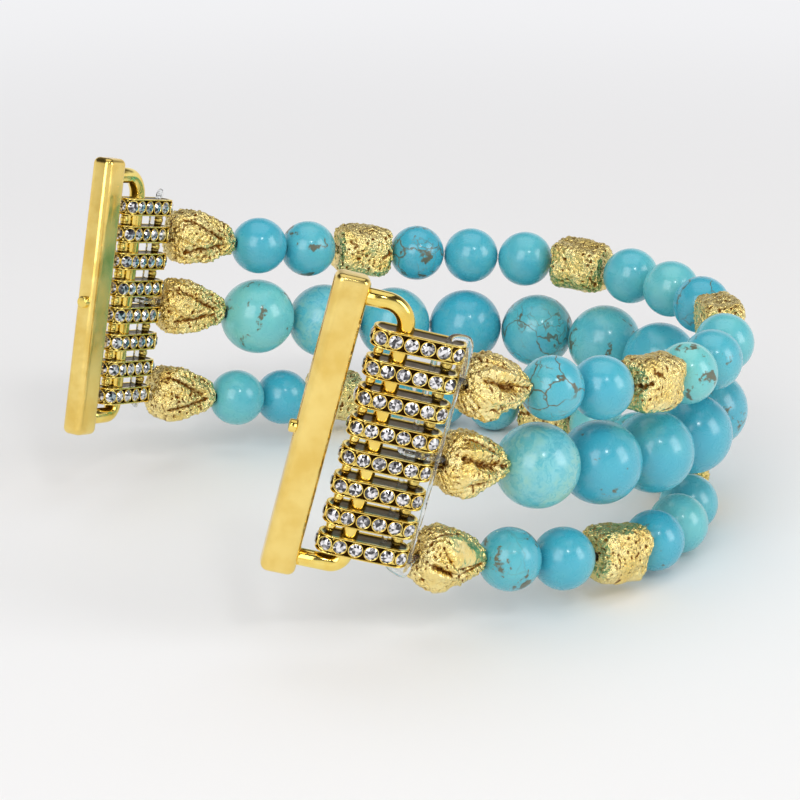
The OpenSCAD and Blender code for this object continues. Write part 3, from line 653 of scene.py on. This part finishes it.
def drawn_relief(turns, height, reach, length, strokes):
    """Folds and gashes drawn on the unrolled surface. Each stroke is a straight line between
    two spots with a width and a rise, negative for a gash; it fades as a bell curve of the
    distance to the line, in millimetres. Returns the relief, and how near a gash is."""
    relief, gash = 0 * reach, 0 * reach
    for (turn_a, height_a), (turn_b, height_b), width, rise in strokes:
        x = ((turns - turn_a + np.pi) % (2 * np.pi) - np.pi) * reach
        y = (height - height_a) * length
        span_x, span_y = (turn_b - turn_a) * reach, (height_b - height_a) * length
        share = np.clip((x * span_x + y * span_y) / (span_x ** 2 + span_y ** 2 + 1e-6), 0, 1)
        near = np.exp(-((x - share * span_x) ** 2 + (y - share * span_y) ** 2) / width ** 2)
        relief = relief + rise * near
        if rise < 0:
            gash = np.maximum(gash, near)
    return relief, gash


def pitted(points, patch, dice, count):
    """Round pits with raised lips, strewn evenly over a grid; each one only touches the rows
    and columns round its own middle. Returns the relief and how deep in a pit a point is."""
    rows, columns = patch.shape
    relief, depth = np.zeros((rows, columns)), np.zeros((rows, columns))
    spots = dice.choice(rows * columns, count, p=(patch / patch.sum()).ravel())
    for spot, radius in zip(spots, PIT_SIZE * dice.uniform(0.45, 1.5, count)):
        row, column = divmod(spot, columns)
        row = min(max(row, 1), rows - 2)
        middle = points[row, column]
        step_row = np.linalg.norm(points[row + 1, column] - middle) + 1e-3
        step_column = np.linalg.norm(points[row, (column + 1) % columns] - middle) + 1e-3
        reach_row = int(1.9 * radius / step_row) + 1
        reach_column = min(int(1.9 * radius / step_column) + 1, columns // 2 - 1)
        near = np.ix_(np.arange(max(0, row - reach_row), min(rows, row + reach_row + 1)),
                      (column + np.arange(-reach_column, reach_column + 1)) % columns)
        far = np.linalg.norm(points[near] - middle, axis=-1) / radius
        relief[near] -= radius * (0.42 * np.exp(-far ** 4)
                                  - 0.14 * np.exp(-((far - 1.25) / 0.3) ** 2))
        depth[near] = np.maximum(depth[near], np.exp(-far ** 3))
    return relief, depth


def lumps(points, dice, wavelength):
    """A soft bumpiness of about one: the sum of many sine waves of one wavelength that run
    every way, over the root of half their number."""
    ways = dice.normal(0, 1, (40, 3))
    ways *= (2 * np.pi / wavelength) / np.linalg.norm(ways, axis=1)[:, None]
    return np.sin(points @ ways.T + dice.uniform(0, 2 * np.pi, 40)).sum(-1) / 20 ** 0.5


def nugget_grid(points, number, turns, height, radius, lip, steps, length, gap, dish=0.0):
    """Rings round one span of a strand: from the bore out over the first face, up the side,
    in over the second face to its lip, and back through the bore. Both faces are dished
    round the bore. Returns the grid, how many of its rows are outside, and the height and
    the radius of their points, a height of one being the length."""
    tip = np.linspace(BORE_R / radius[0], 1, steps)[:-1]
    face = np.linspace(1, lip / radius[-1], steps)[1:]
    inside = np.linspace(1, 0, 8)[1:-1, None]
    ones = np.ones_like(turns)
    reach = np.concatenate([tip * radius[0], radius, face * radius[-1],
                            (BORE_R + (lip - BORE_R) * inside) * ones])
    level = np.concatenate([0 * tip, height * ones, 1 + 0 * face, inside * ones])
    sunk = dish * np.clip(1 - (reach / DISH_R) ** 2, 0, 1) / length
    level = level + np.where(level < 0.1, sunk, 0) - np.where(level > 0.9, sunk, 0)
    start, v, u, w = span_frame(points, number)
    grid = (start + (level * length + gap)[..., None] * v
            + (reach * np.cos(turns))[..., None] * u + (reach * np.sin(turns))[..., None] * w)
    outer = len(grid) - len(inside)
    return grid, outer, level[:outer], np.maximum(reach[:outer], 1.0)


def cast_skin(grid, outer, height, reach, turns, length, seed, strokes, calm, pits, grain, cap):
    """Roughens the outer rows of a nugget's grid along their normals: drawn folds and gashes,
    a slow swell, and pits and fine pebbles that fade where the casting is calm; none of it
    rises past the cap. Marks painted shade in the pits, the gashes and the valleys between
    pebbles, and how calm each point is, for the finish."""
    dice = np.random.default_rng(seed)
    normals, patch = outward(grid)
    points, normals, patch = grid[:outer], normals[:outer], patch[:outer]
    relief, gash = drawn_relief(turns, height, reach, length, strokes)
    pit_relief, pit_depth = pitted(points, patch, dice, pits)
    pebbles = lumps(points, dice, PEBBLE) + 0.6 * lumps(points, dice, FINE_PEBBLE)
    swell = lumps(points, dice, SWELL)
    still = np.zeros((outer, grid.shape[1]))
    for (turn, middle), half_turn, half_height, weight in calm:
        away = ((turns - turn + np.pi) % (2 * np.pi) - np.pi) / half_turn
        still = np.maximum(still, weight * np.exp(-(away ** 2 + (
            (height - middle) / half_height) ** 2) ** 2))
    rough = 1 - still
    shift = relief + SWELL_RISE * swell + rough * (pit_relief + grain * pebbles) - SUNK
    edge = np.clip(np.minimum(np.arange(outer), outer - 1 - np.arange(outer)) / 4, 0, 1)
    grid[:outer] += (np.minimum(shift, cap) * edge[:, None])[..., None] * normals
    # Painted shade: pits, gashes and the valleys between pebbles are marked to be painted darker.
    hollow, calmness = np.ones(grid.shape[:2]), np.zeros(grid.shape[:2])
    valley = np.clip(-0.8 - pebbles, 0, 1)
    hollow[:outer] = np.clip(np.maximum(rough * pit_depth * 0.8, gash * 0.9)
                             + 0.7 * rough * valley, 0, 1)
    calmness[:outer] = still
    return skin(grid, along=True, hollow=hollow, calm=calmness)


def end_nugget(points, number, seed, strokes, calm):
    """A tapered lump: squared-oval rings whose share of the width grows from the tip to the
    wide end and closes there in a blunt dome, down to the lip that the elastic enters by."""
    turns = circle(208)[None]
    stations = [0, 0.03, 0.08, 0.18, 0.3, 0.42, 0.55, 0.7, 0.82, 0.9, 0.96, 1]
    shares = [0.28, 0.38, 0.46, 0.60, 0.73, 0.84, 0.93, 0.99, 0.97, 0.86, 0.68, 0.44]
    height = np.linspace(0, 1, 112)[:, None]
    share = np.interp(height, stations, shares)
    radius = oval(turns, CONE_W, CONE_W * 0.92, 2.2) * share * crumple(turns, height, seed)
    shape = nugget_grid(points, number, turns, height, radius, LIP_R, 8, CONE_LEN, SMALL_GAP)
    return cast_skin(*shape, turns, CONE_LEN, seed, strokes, calm, pits=700, grain=0.05, cap=0.3)


def pit_shaded_gold():
    """Gold plate over a pebbled casting: bright and glossy on the heights, and painted shade,
    orange-brown and rougher, in its pits, its gashes and the low parts of the fine pebbling,
    with a random cloud mixed in. The pebbling is finer than the mesh, and rests where the
    casting is calm."""
    gold = Finish("pit_shaded_gold", Metallic=1.0)
    hollow, calm = gold.mark("hollow"), gold.mark("calm")
    cloud = gold.noise(420, 4, 0.65)
    grain = gold.noise(3300, 3, 0.62)
    beads = gold.cells(3600)
    pebble = grain * 1.2 + beads * 0.5
    # Painted shade: pits, gashes and the low parts of the fine pebbling turn brown, with a random
    # cloud mixed in.
    deep = gold.span(hollow + cloud * 0.3 + (0.5 - grain) * (1 - calm) * 1.1, 0.54, 1.12)
    bright = gold.tones(cloud, 0.3, 0.7, (246, 216, 128), (255, 238, 170))
    return gold.feed(
        Base_Color=gold.mix(deep, bright, paint(126, 78, 22)),
        Roughness=0.15 + gold.span(grain, 0.3, 0.75) * 0.1 + deep * 0.25,
        Normal=gold.bump(pebble * (1.05 - calm), 1.0, 0.00014))


def seen_strokes(*strokes):
    """Strokes given as they are seen from the front: the along and down of both ends, the
    width and the rise."""
    return [(seen(a, b), seen(c, d), width, rise) for a, b, c, d, width, rise in strokes]


back_creases = [((np.radians(a), h), (np.radians(b), k), 0.3, rise) for a, h, b, k, rise in (
    (215, 0.9, 250, 0.25, -0.35), (255, 0.95, 285, 0.5, 0.3), (300, 0.8, 270, 0.2, -0.3),
    (330, 0.9, 310, 0.3, 0.3), (355, 0.6, 345, 0.15, -0.25), (200, 0.7, 195, 0.1, 0.25))]
# The top and the middle end nugget come from one mould: a gash in the middle of the front,
# a fold above and one below it that meet at the tip, creases round the back and a drip at
# the wide end. The bottom one has a smooth upper face, a ledge below it and a gash low down.
folded = seen_strokes(
    (0.34, 0.50, 0.60, 0.53, 0.52, -0.85), (0.10, 0.42, 0.34, 0.50, 0.3, -0.45),
    (0.06, 0.26, 0.45, 0.30, 0.34, 0.34), (0.45, 0.30, 0.86, 0.42, 0.3, 0.26),
    (0.20, 0.74, 0.62, 0.72, 0.36, 0.30), (0.62, 0.72, 0.86, 0.60, 0.3, 0.24),
    (0.15, 0.10, 0.80, 0.26, 0.22, -0.26), (0.25, 0.90, 0.80, 0.80, 0.24, -0.3),
    (0.62, 0.50, 0.84, 0.50, 0.2, -0.2), (0.36, 0.99, 0.40, 0.99, 0.6, 0.5))
ledged = seen_strokes(
    (0.08, 0.66, 0.36, 0.76, 0.26, -0.6), (0.16, 0.30, 0.34, 0.62, 0.16, -0.22),
    (0.40, 0.66, 0.62, 0.68, 0.18, -0.24), (0.62, 0.66, 0.82, 0.62, 0.16, -0.2),
    (0.10, 0.55, 0.40, 0.70, 0.3, 0.25), (0.45, 0.82, 0.90, 0.64, 0.22, -0.22),
    (0.10, 0.10, 0.70, 0.06, 0.2, -0.25), (0.32, 0.99, 0.36, 0.99, 0.6, 0.55))
fold_backs = [(seen(0.30, 0.22), 0.5, 0.12, 0.5), (seen(0.20, 0.86), 0.5, 0.1, 0.5)]
smooth_face = [(seen(0.58, 0.34), 0.72, 0.36, 0.95), (seen(0.20, 0.84), 0.5, 0.16, 0.6)]
end_nuggets = (("top", top_points, 8, 1, folded, fold_backs),
               ("middle", middle_points, 6, 2, folded, fold_backs),
               ("bottom", bottom_points, 8, 3, ledged, smooth_face))
nugget_gold = pit_shaded_gold()

for side in SIDES:
    for strand, points, number, seed, strokes, calm in end_nuggets:
        piece(f"{side}_{strand}_cast_end",
              [end_nugget(points, number, seed, strokes + back_creases, calm)], side,
              nugget_gold, f"{side}_run_1", [f"{side}_{strand}_end_nugget"])

# Nuggets. Between the beads of the top and the bottom strand sit crumpled gold nuggets,
# cast like the end ones and with the same painted shade, with a straight bore for the elastic.
NUGGET_W, NUGGET_T, NUGGET_LEN, TRIM, DISH = 6.0, 5.2, 6.475, 0.97, 0.36


def lava_nugget(points, number, seed):
    """A crumpled block: squared-oval rings with rounded ends, dished round the bore so that
    the next bead can tilt there, the bore through them, a few creases across it, and a
    calmer low side where it was cut from its sprue."""
    turns = circle(192)[None]
    stations = [0, 0.05, 0.16, 0.36, 0.64, 0.84, 0.95, 1]
    shares = [0.62, 0.86, 0.97, 1, 1, 0.97, 0.86, 0.62]
    height = np.linspace(0, 1, 100)[:, None]
    share = np.interp(height, stations, shares)
    outline = oval(turns, NUGGET_W * TRIM, NUGGET_T * TRIM, 3.2)
    radius = outline * share * crumple(turns, height, seed)
    shape = nugget_grid(points, number, turns, height, radius, BORE_R, 12, NUGGET_LEN,
                        SMALL_GAP / 2, DISH)
    dice = np.random.default_rng(40 + seed)
    creases = []
    for _ in range(9):
        turn, middle, lean = dice.uniform(0, 2 * np.pi), dice.uniform(0.1, 0.9), dice.uniform(-1, 1)
        creases.append(((turn, middle), (turn + 0.5 * lean, middle + 0.25 * (1 - abs(lean))), 0.26,
                        dice.choice([-0.16, 0.12])))
    low_side = [((0.2, 0.5), 0.8, 0.6, 0.75)]
    return cast_skin(*shape, turns, NUGGET_LEN, seed, creases, low_side, pits=520, grain=0.035,
                     cap=0.14)


nuggets = (("top", 1, top_points, 5, 4), ("bottom", 1, bottom_points, 5, 5),
           ("top", 2, top_points, 1, 6), ("bottom", 2, bottom_points, 1, 7))
for side in SIDES:
    for strand, link, points, number, seed in nuggets:
        piece(f"{side}_{strand}_cast_nugget_{link}", [lava_nugget(points, number, seed)],
              side, nugget_gold, f"{side}_link_{link}", [f"{side}_{strand}_nugget_{link}"])

# Turquoise beads. Round, drilled and tumbled to a gloss: 6 mm beads in the top and the
# bottom strand, 8 mm beads in the middle one. Dyed stone, so each bead has its own
# tone, and a few carry brown veins of the rock.
SMALL_R, LARGE_R = 3.0, 4.0


def drilled_bead(points, number, radius, tone, vein, spot, pale, seed):
    """A sphere cut by its bore: a half circle from rim to rim, with the rims rounded over,
    swept round the strand, and closed through the bore."""
    start, v, u, w = span_frame(points, number)
    centre = start + v * np.linalg.norm(points[number + 1] - points[number]) / 2
    soft = 0.12
    cut = np.arcsin((BORE_R + soft) / radius)
    polar = np.linspace(np.pi - cut, cut, 64)
    lip = np.linspace(0.25, 1, 4) * np.pi / 2
    edge = radius * np.cos(cut)
    radii = np.concatenate([radius * np.sin(polar), BORE_R + soft - soft * np.sin(lip),
                            BORE_R + soft - soft * np.sin(lip[::-1])])
    along = np.concatenate([radius * np.cos(polar), edge - soft * (1 - np.cos(lip)),
                            -edge + soft * (1 - np.cos(lip[::-1]))])
    turns = circle(80)
    ring = np.cos(turns)[:, None] * u + np.sin(turns)[:, None] * w
    grid = centre + along[:, None, None] * v + radii[:, None, None] * ring
    return skin(grid, along=True, tone=tone, vein=vein, spot=spot, pale=pale, seed=seed)


def glossy_turquoise():
    """Polished turquoise: clouds of blue and green, chalky streaked mottles on some beads,
    thin branching veins of olive-brown rock on others and a few brown spots, under a clear
    tumbled gloss."""
    stone = Finish("glossy_turquoise", Coat_Weight=0.4, Coat_Roughness=0.05, IOR=1.6)
    seed, tone, vein, spot, pale = [stone.mark(k) for k in ("seed", "tone", "vein", "spot", "pale")]
    offset = stone.node("ShaderNodeCombineXYZ", None, {0: seed, 1: seed * 1.7, 2: seed * -0.6})
    at = stone.moved(stone.place, offset)
    swirl = stone.node("ShaderNodeTexNoise", None, {"Vector": at, "Scale": 420.0, "Detail": 3.0},
                       out="Color")
    bent = stone.moved(at, swirl, 0.0032)
    cloud = stone.noise(260, 3, 0.55, at)
    mottle = stone.noise(700, 5, 0.7, bent, 0.8)
    fleck = stone.noise(2600, 3, 0.7, at)
    blue = stone.tones(cloud * 0.8 + tone, 0.35, 1.45, (62, 171, 194), (122, 206, 200))
    chalk = stone.span(mottle * 0.7 + fleck * 0.3 + pale * 0.3, 0.58, 0.86)
    green = stone.tones(cloud, 0.4, 0.6, (140, 208, 212), (158, 206, 184))
    light = stone.mix(chalk * (0.1 + pale * 0.85), blue, green)
    crack = stone.cells(215, "DISTANCE_TO_EDGE", bent)
    branch = stone.cells(520, "DISTANCE_TO_EDGE", bent)
    width = 0.008 + stone.span(mottle, 0.35, 0.7) * 0.016
    line = stone.span(crack / width, 0.6, 1.4, 1.0, 0.0)
    twig = stone.span(branch / width, 0.9, 2.0, 0.8, 0.0) * stone.span(cloud, 0.5, 0.62)
    veins = line.most(twig) * stone.span(stone.noise(190, 2, 0.5, at), 0.32, 0.42) * vein
    islands = stone.noise(480, 4, 0.62, bent)
    brown = stone.span(islands + fleck * 0.2 + spot * 0.14, 0.8, 0.86) * stone.span(spot, 0.0, 0.1)
    rock = veins.most(brown).least(1.0)
    return stone.feed(
        Base_Color=stone.mix(rock * 0.92, light, stone.mix(fleck, paint(58, 48, 18),
                                                           paint(112, 102, 60))),
        Roughness=0.24 + stone.span(mottle, 0.35, 0.7) * 0.12 + rock * 0.2,
        Normal=stone.bump(mottle * 0.15 + fleck * 0.05 - rock * 0.6, 0.15, 0.00006))


turquoise = glossy_turquoise()


def beads(name, side, body, node, strung):
    """All the beads of one CAD node: each is its strand, its span, its radius and its looks."""
    piece(name, [drilled_bead(*bead) for bead in strung], side, turquoise, body, [node])


# The beads that the front shows, each with its tone from blue to green, its veins, its
# brown spots, how pale and chalky it is, and the seed of its pattern.
known_beads = {("front", strand, number): values for strand, number, *values in (
    ("top", 7, 0.25, 1.0, 0.0, 0.1, 0.62), ("top", 6, 0.15, 0.0, 0.1, 0.0, 0.14),
    ("top", 4, 0.75, 0.0, 0.9, 0.2, 0.52), ("top", 3, 0.3, 0.0, 0.4, 0.2, 0.73),
    ("top", 2, 0.45, 0.0, 0.0, 0.1, 0.2), ("middle", 5, 0.4, 0.0, 0.0, 0.75, 0.47),
    ("middle", 4, 0.1, 0.0, 0.5, 0.0, 0.83), ("middle", 3, 0.15, 0.0, 0.0, 0.0, 0.66),
    ("middle", 2, 0.05, 0.0, 0.0, 0.0, 0.38), ("bottom", 7, 0.25, 0.2, 1.0, 0.15, 0.77),
    ("bottom", 6, 0.15, 0.0, 0.0, 0.0, 0.27), ("bottom", 4, 0.05, 0.0, 0.5, 0.0, 0.5),
    ("bottom", 3, 0.55, 0.0, 0.0, 0.1, 0.05), ("bottom", 2, 0.4, 0.0, 0.0, 0.0, 0.95))}


def looks(side, strand, number):
    """Tone, veins, spots, paleness and seed of a bead: its own, or drawn once for its place."""
    place = {"top": 0, "middle": 20, "bottom": 40}[strand] + number + (100 if side == "rear" else 0)
    dice = np.random.default_rng(900 + place)
    drawn = (dice.uniform(0.0, 0.8), 0.9 * (dice.random() < 0.2), 0.8 * (dice.random() < 0.3),
             dice.uniform(0, 1) ** 3, dice.uniform(0, 1))
    return known_beads.get((side, strand, number), drawn)


def small(side, *numbers):
    """The beads at the same spans of the top and of the bottom strand."""
    return [(points, k, SMALL_R, *looks(side, strand, k)) for strand, points in (
        ("top", top_points), ("bottom", bottom_points)) for k in numbers]


def large(side, *numbers):
    return [(middle_points, k, LARGE_R, *looks(side, "middle", k)) for k in numbers]


for side in SIDES:
    for name, body, node, strung in (
            ("round_beads_1", "run_1", "small_beads_1", small(side, 6, 7)),
            ("round_large_1", "run_1", "large_bead_1", large(side, 5)),
            ("round_link_1", "link_1", "link_bead_1", large(side, 4)),
            ("round_beads_2", "run_2", "small_beads_2", small(side, 2, 3, 4)),
            ("round_large_2", "run_2", "large_beads_2", large(side, 2, 3)),
            ("round_link_2", "link_2", "link_bead_2", large(side, 1))):
        beads(f"{side}_{name}", side, f"{side}_{body}", f"{side}_{node}", strung)


def centre_three(points, radius, strand):
    """The bead on the band's middle plane and its two neighbours, one of them mirrored."""
    first = np.array([points[0] * [1, -1, 1], points[0]])
    mirrored = points[:2] * [1, -1, 1]
    return [(first, 0, radius, *looks("front", strand, 9)),
            (points, 0, radius, *looks("front", strand, 0)),
            (mirrored[::-1], 0, radius, *looks("rear", strand, 0))]


beads("centre_round_beads", "front", "centre", "centre_small_beads",
      centre_three(top_points, SMALL_R, "top") + centre_three(bottom_points, SMALL_R, "bottom"))
beads("centre_round_large", "front", "centre", "centre_large_beads",
      centre_three(middle_points, LARGE_R, "middle"))

# Elastic. Clear stretch cord runs through every bead: one piece through the top and the
# bottom strand and down through the bars, one piece through the middle strand, each
# pulled tight and knotted in a nugget's mouth.
CORD_R, RETURN_R, CORD_X = 0.3, 0.18, 1.752
END_OUT = BAR_R + CROWN + CORD_R + 0.02
END_TURN = np.radians(35)
FLEX_HALF, HINGE_FROM, HINGE_TO = 0.8, 5.6, 4.75


def softened(path, passes=4):
    """Corners cut off a path, each pass at a quarter from both ends of every span."""
    path = np.asarray(path, float)
    for _ in range(passes):
        a, b = path[:-1], path[1:]
        inner = np.stack([a * 0.75 + b * 0.25, a * 0.25 + b * 0.75], 1).reshape(-1, 3)
        path = np.concatenate([path[:1], inner, path[-1:]])
    return path


def filled(path, step=0.25):
    """Points no more than a step apart along a path, so that it can bend smoothly."""
    out = [path[0]]
    for a, b in zip(path[:-1], path[1:]):
        count = max(1, int(np.ceil(np.linalg.norm(b - a) / step)))
        out += [a + (b - a) * k / count for k in range(1, count + 1)]
    return np.array(out)


def in_mouth(points, depth, up=0):
    """A point in an end nugget's mouth: so deep along the nugget's axis, and so far up."""
    end = points[-1]
    return end + unit(points[-2] - end) * depth + [0, 0, up]


def beside_end(z, out=END_OUT):
    """A point outside the right end of the bars, between two columns of stones."""
    return in_stack([ARC_X + out * np.cos(END_TURN), -out * np.sin(END_TURN), z])


def over_bar_end(sign):
    """From the last bore of the bars over the end bar's outer corner: sign 1 at the top of
    the stack, -1 at the bottom."""
    top = sign * STACK_TOP
    return [in_stack([ARC_X - 0.4, 0, top - sign * 0.35]),
            in_stack([ARC_X - 0.3, -0.1, top + sign * 0.3]),
            in_stack([ARC_X + 0.4, -0.4, top + sign * 0.62]),
            beside_end(top + sign * 0.7, END_OUT - 0.2), beside_end(top - sign * 0.5)]


def clear_cord():
    """Clear polyurethane cord: see-through and glossy, with a faint cloudiness."""
    clear = Finish("clear_cord", Transmission_Weight=0.95, IOR=1.4)
    cloud = clear.noise(900, 2, 0.5)
    return clear.feed(
        Base_Color=clear.tones(cloud, 0.3, 0.7, (250, 250, 249), (238, 241, 240)),
        Roughness=0.02 + cloud * 0.08)


cord_finish = clear_cord()
top_loop = softened(over_bar_end(1) + [
    beside_end(STACK_TOP - 2), beside_end(STACK_TOP - 3), in_mouth(top_points, -0.05, 0.25),
    in_mouth(top_points, 0.9), in_mouth(top_points, 2.4)])
bottom_loop = softened(over_bar_end(-1) + [
    in_mouth(bottom_points, -0.25, -0.1), in_mouth(bottom_points, 0.8),
    in_mouth(bottom_points, 2.2)])
WRAP_X = CORD_X - 0.8
middle_loop = softened(
    [in_mouth(middle_points, 2.6), in_mouth(middle_points, 0.6)]
    + [in_stack(p) for p in (
        [ARC_X + 1.3, 0.3, -0.05], [ARC_X + 0.4, 0.85, 0], [WRAP_X + 0.2, 0.85, 0],
        [WRAP_X, 0.4, 0], [WRAP_X, -0.4, 0], [WRAP_X + 0.2, -0.85, 0], [ARC_X + 0.4, -0.85, 0],
        [ARC_X + 1.3, -0.3, -0.05])]
    + [in_mouth(middle_points, 0.6), in_mouth(middle_points, 1.4)])


def cord_piece(name, path, side, body=None, across=None, between=None, knots=(),
               radius=CORD_R):
    """A length of cord that rides on one body, or, at the joint between two, is left as a plain
    mesh with its transform baked in.
    """
    skins = [capped_tube(filled(path), radius, 14)]
    for spot, knot_r in knots:
        ball = np.linspace(0, np.pi, 13)[1:-1]
        profile = np.stack([knot_r * np.sin(ball), -knot_r * np.cos(ball)], -1)
        skins.append(skin(turned(profile, spot, [0, 0, 1], 20), start=spot - [0, 0, knot_r],
                          end=spot + [0, 0, knot_r]))
    made = piece(name, skins, side, cord_finish, body, ())
    if across:
        start, end = [to_side(p, side) * MM for p in between]
        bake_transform(made)
    return made


def half_way(points, number):
    return (points[number] + points[number + 1]) / 2


strands = (
    ("top", top_points, (0, 1, 3, 5, 7), top_loop[::-1], ()),
    ("middle", middle_points, (0, 1, 2, 4, 5), middle_loop,
     ((in_mouth(middle_points, 1.6), 0.5),)),
    ("bottom", bottom_points, (0, 1, 3, 5, 7), bottom_loop[::-1],
     ((in_mouth(bottom_points, 2.2), 0.5),)))

for strand, points, spans, loop, knots in strands:
    for side in SIDES:
        bodies = ["centre"] + [f"{side}_{k}" for k in ("link_2", "run_2", "link_1", "run_1")]
        for k, joint in enumerate(("stretch_2", "flex_2", "stretch_1", "flex_1")):
            first, last = spans[k], spans[k + 1]
            a, b = half_way(points, first), half_way(points, last)
            between = a, b
            if "flex" in joint:
                half = FLEX_HALF * unit(b - a)
                between = points[first + 1] - half, points[first + 1] + half
            cord_piece(f"{side}_{strand}_cord_{joint}", [a, *points[first + 1:last + 1], b],
                       side, None, (bodies[k], bodies[k + 1]), between)
        path = [half_way(points, spans[4]), *points[spans[4] + 1:-1], *loop]
        cord_piece(f"{side}_{strand}_cord_end", path, side, None,
                   (f"{side}_run_1", f"{side}_stack"),
                   (in_stack([HINGE_FROM, 0, 0]), in_stack([HINGE_TO, 0, 0])), knots)
    middle_path = [half_way(points, 0) * [1, -1, 1], points[0] * [1, -1, 1], points[0],
                   half_way(points, 0)]
    middle_cord = cord_piece(f"{strand}_cord_centre", middle_path, "front", "centre")
    if strand != "bottom":
        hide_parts("outer_elastic" if strand == "top" else "middle_elastic")
for side in SIDES:
    column = [in_stack([CORD_X, 0, z]) for z in (0.3 - STACK_TOP, STACK_TOP - 0.3)]
    cord_piece(f"{side}_bar_cord", column, side, f"{side}_stack")
    return_run = [beside_end(z, END_OUT - 0.12) for z in (0.6 - STACK_TOP, STACK_TOP - 3)]
    cord_piece(f"{side}_bar_end_cord", return_run, side, f"{side}_stack", radius=RETURN_R)

# Floor. The band stands on a pale, matt tabletop that runs on into a white background.
floor_size = 2.0
bpy.ops.mesh.primitive_plane_add(size=floor_size, location=(0, 0, cad_box[0][2]))
floor = bpy.context.object
floor.name = "tabletop"
table_finish = Finish("tabletop", Roughness=0.8)
table_cloud = table_finish.noise(8, 2, 0.5)
floor.data.materials.append(table_finish.feed(Base_Color=table_finish.mix(
    table_cloud, paint(239, 238, 237), paint(242, 241, 240))))


def seen_rays(tree):
    """One for what the camera, metal and glass see, and none for what only lights."""
    camera_ray, glossy_ray, clear_ray = [
        tree.node("ShaderNodeLightPath", out=f"Is {k} Ray")
        for k in ("Camera", "Glossy", "Transmission")]
    return camera_ray.most(glossy_ray).most(clear_ray)


# Away from the band the tabletop turns into the plain background.
away = table_finish.node("ShaderNodeVectorMath", {"operation": "LENGTH"},
                         {0: table_finish.place}, out="Value")
backdrop = table_finish.node("ShaderNodeEmission", None, {"Color": paint(242, 242, 244)})
tabletop = table_finish.node("ShaderNodeMixShader", None, {
    0: table_finish.span(away, 0.09, 0.30) * seen_rays(table_finish),
    1: Wire(table_finish, table_finish.shader.outputs[0]), 2: backdrop})
table_finish.tree.links.new(tabletop.socket,
                            table_finish.tree.nodes["Material Output"].inputs["Surface"])

# Light. A pale room lights everything evenly. What the camera, metal and glass see of it
# runs from a pale horizon to a darker ceiling, so that gold has something to mirror.
world = bpy.data.worlds.new("room")
bpy.context.scene.world = world
world.use_nodes = True
room = Nodes(world.node_tree)
direction = room.node("ShaderNodeTexCoord", out="Generated")
up = room.node("ShaderNodeSeparateXYZ", None, {0: direction}, out=2)
patches = room.node("ShaderNodeTexNoise", None,
                    {"Vector": direction, "Scale": 2.2, "Detail": 1.0})
mirrored_room = room.tones(up + (patches - 0.5) * 0.7, 0.16, 0.66, (242, 242, 244), (64, 60, 56))
shown = room.mix(seen_rays(room), paint(186, 186, 188), mirrored_room)
room.tree.links.new(shown.socket, room.tree.nodes["Background"].inputs["Color"])


def panel(name, place, width, height, power):
    """A rectangular lamp of so many watts that faces the middle of the band."""
    lamp = bpy.data.lights.new(name, "AREA")
    lamp.shape, lamp.size, lamp.size_y, lamp.energy = "RECTANGLE", width, height, power
    holder = bpy.data.objects.new(name, lamp)
    bpy.context.scene.collection.objects.link(holder)
    holder.visible_camera = False
    holder.location = place
    way = np.array(middle_of_band, float) - np.array(place, float)
    holder.rotation_euler = Vector(way).to_track_quat("-Z", "Y").to_euler()


middle_of_band = (0.0, -0.01, 0.015)
panel("left_window", (-0.45, -0.28, 0.35), 0.35, 0.45, 1.45)
panel("right_window", (0.35, -0.50, 0.30), 0.30, 0.40, 1.3)
panel("overhead", (0.05, 0.05, 0.60), 0.6, 0.6, 1.0)
panel("glint", (-0.10, -0.45, 0.50), 0.07, 0.07, 0.35)

# Camera. It stands low in front of the band's front end, as in the photograph, and is
# rolled by less than a degree.
camera_data = bpy.data.cameras.new("camera")
camera = bpy.data.objects.new("camera", camera_data)
bpy.context.scene.collection.objects.link(camera)
camera_data.lens, camera_data.sensor_width = 110.2, 36
camera_data.clip_start, camera_data.clip_end = 0.01, 10
right = np.array([0.83944023, -0.54330242, 0.01275084])
ahead = np.array([0.51466153, 0.78721489, -0.33972963])
upward = np.cross(right, ahead)
place = (-0.13193037, -0.1943675, 0.09711914)
camera.matrix_world = Matrix([(*row, at) for row, at in zip(
    np.stack([right, upward, -ahead], 1).tolist(), place)] + [(0, 0, 0, 1)])
bpy.context.scene.camera = camera
bpy.context.scene.view_settings.view_transform = "Standard"
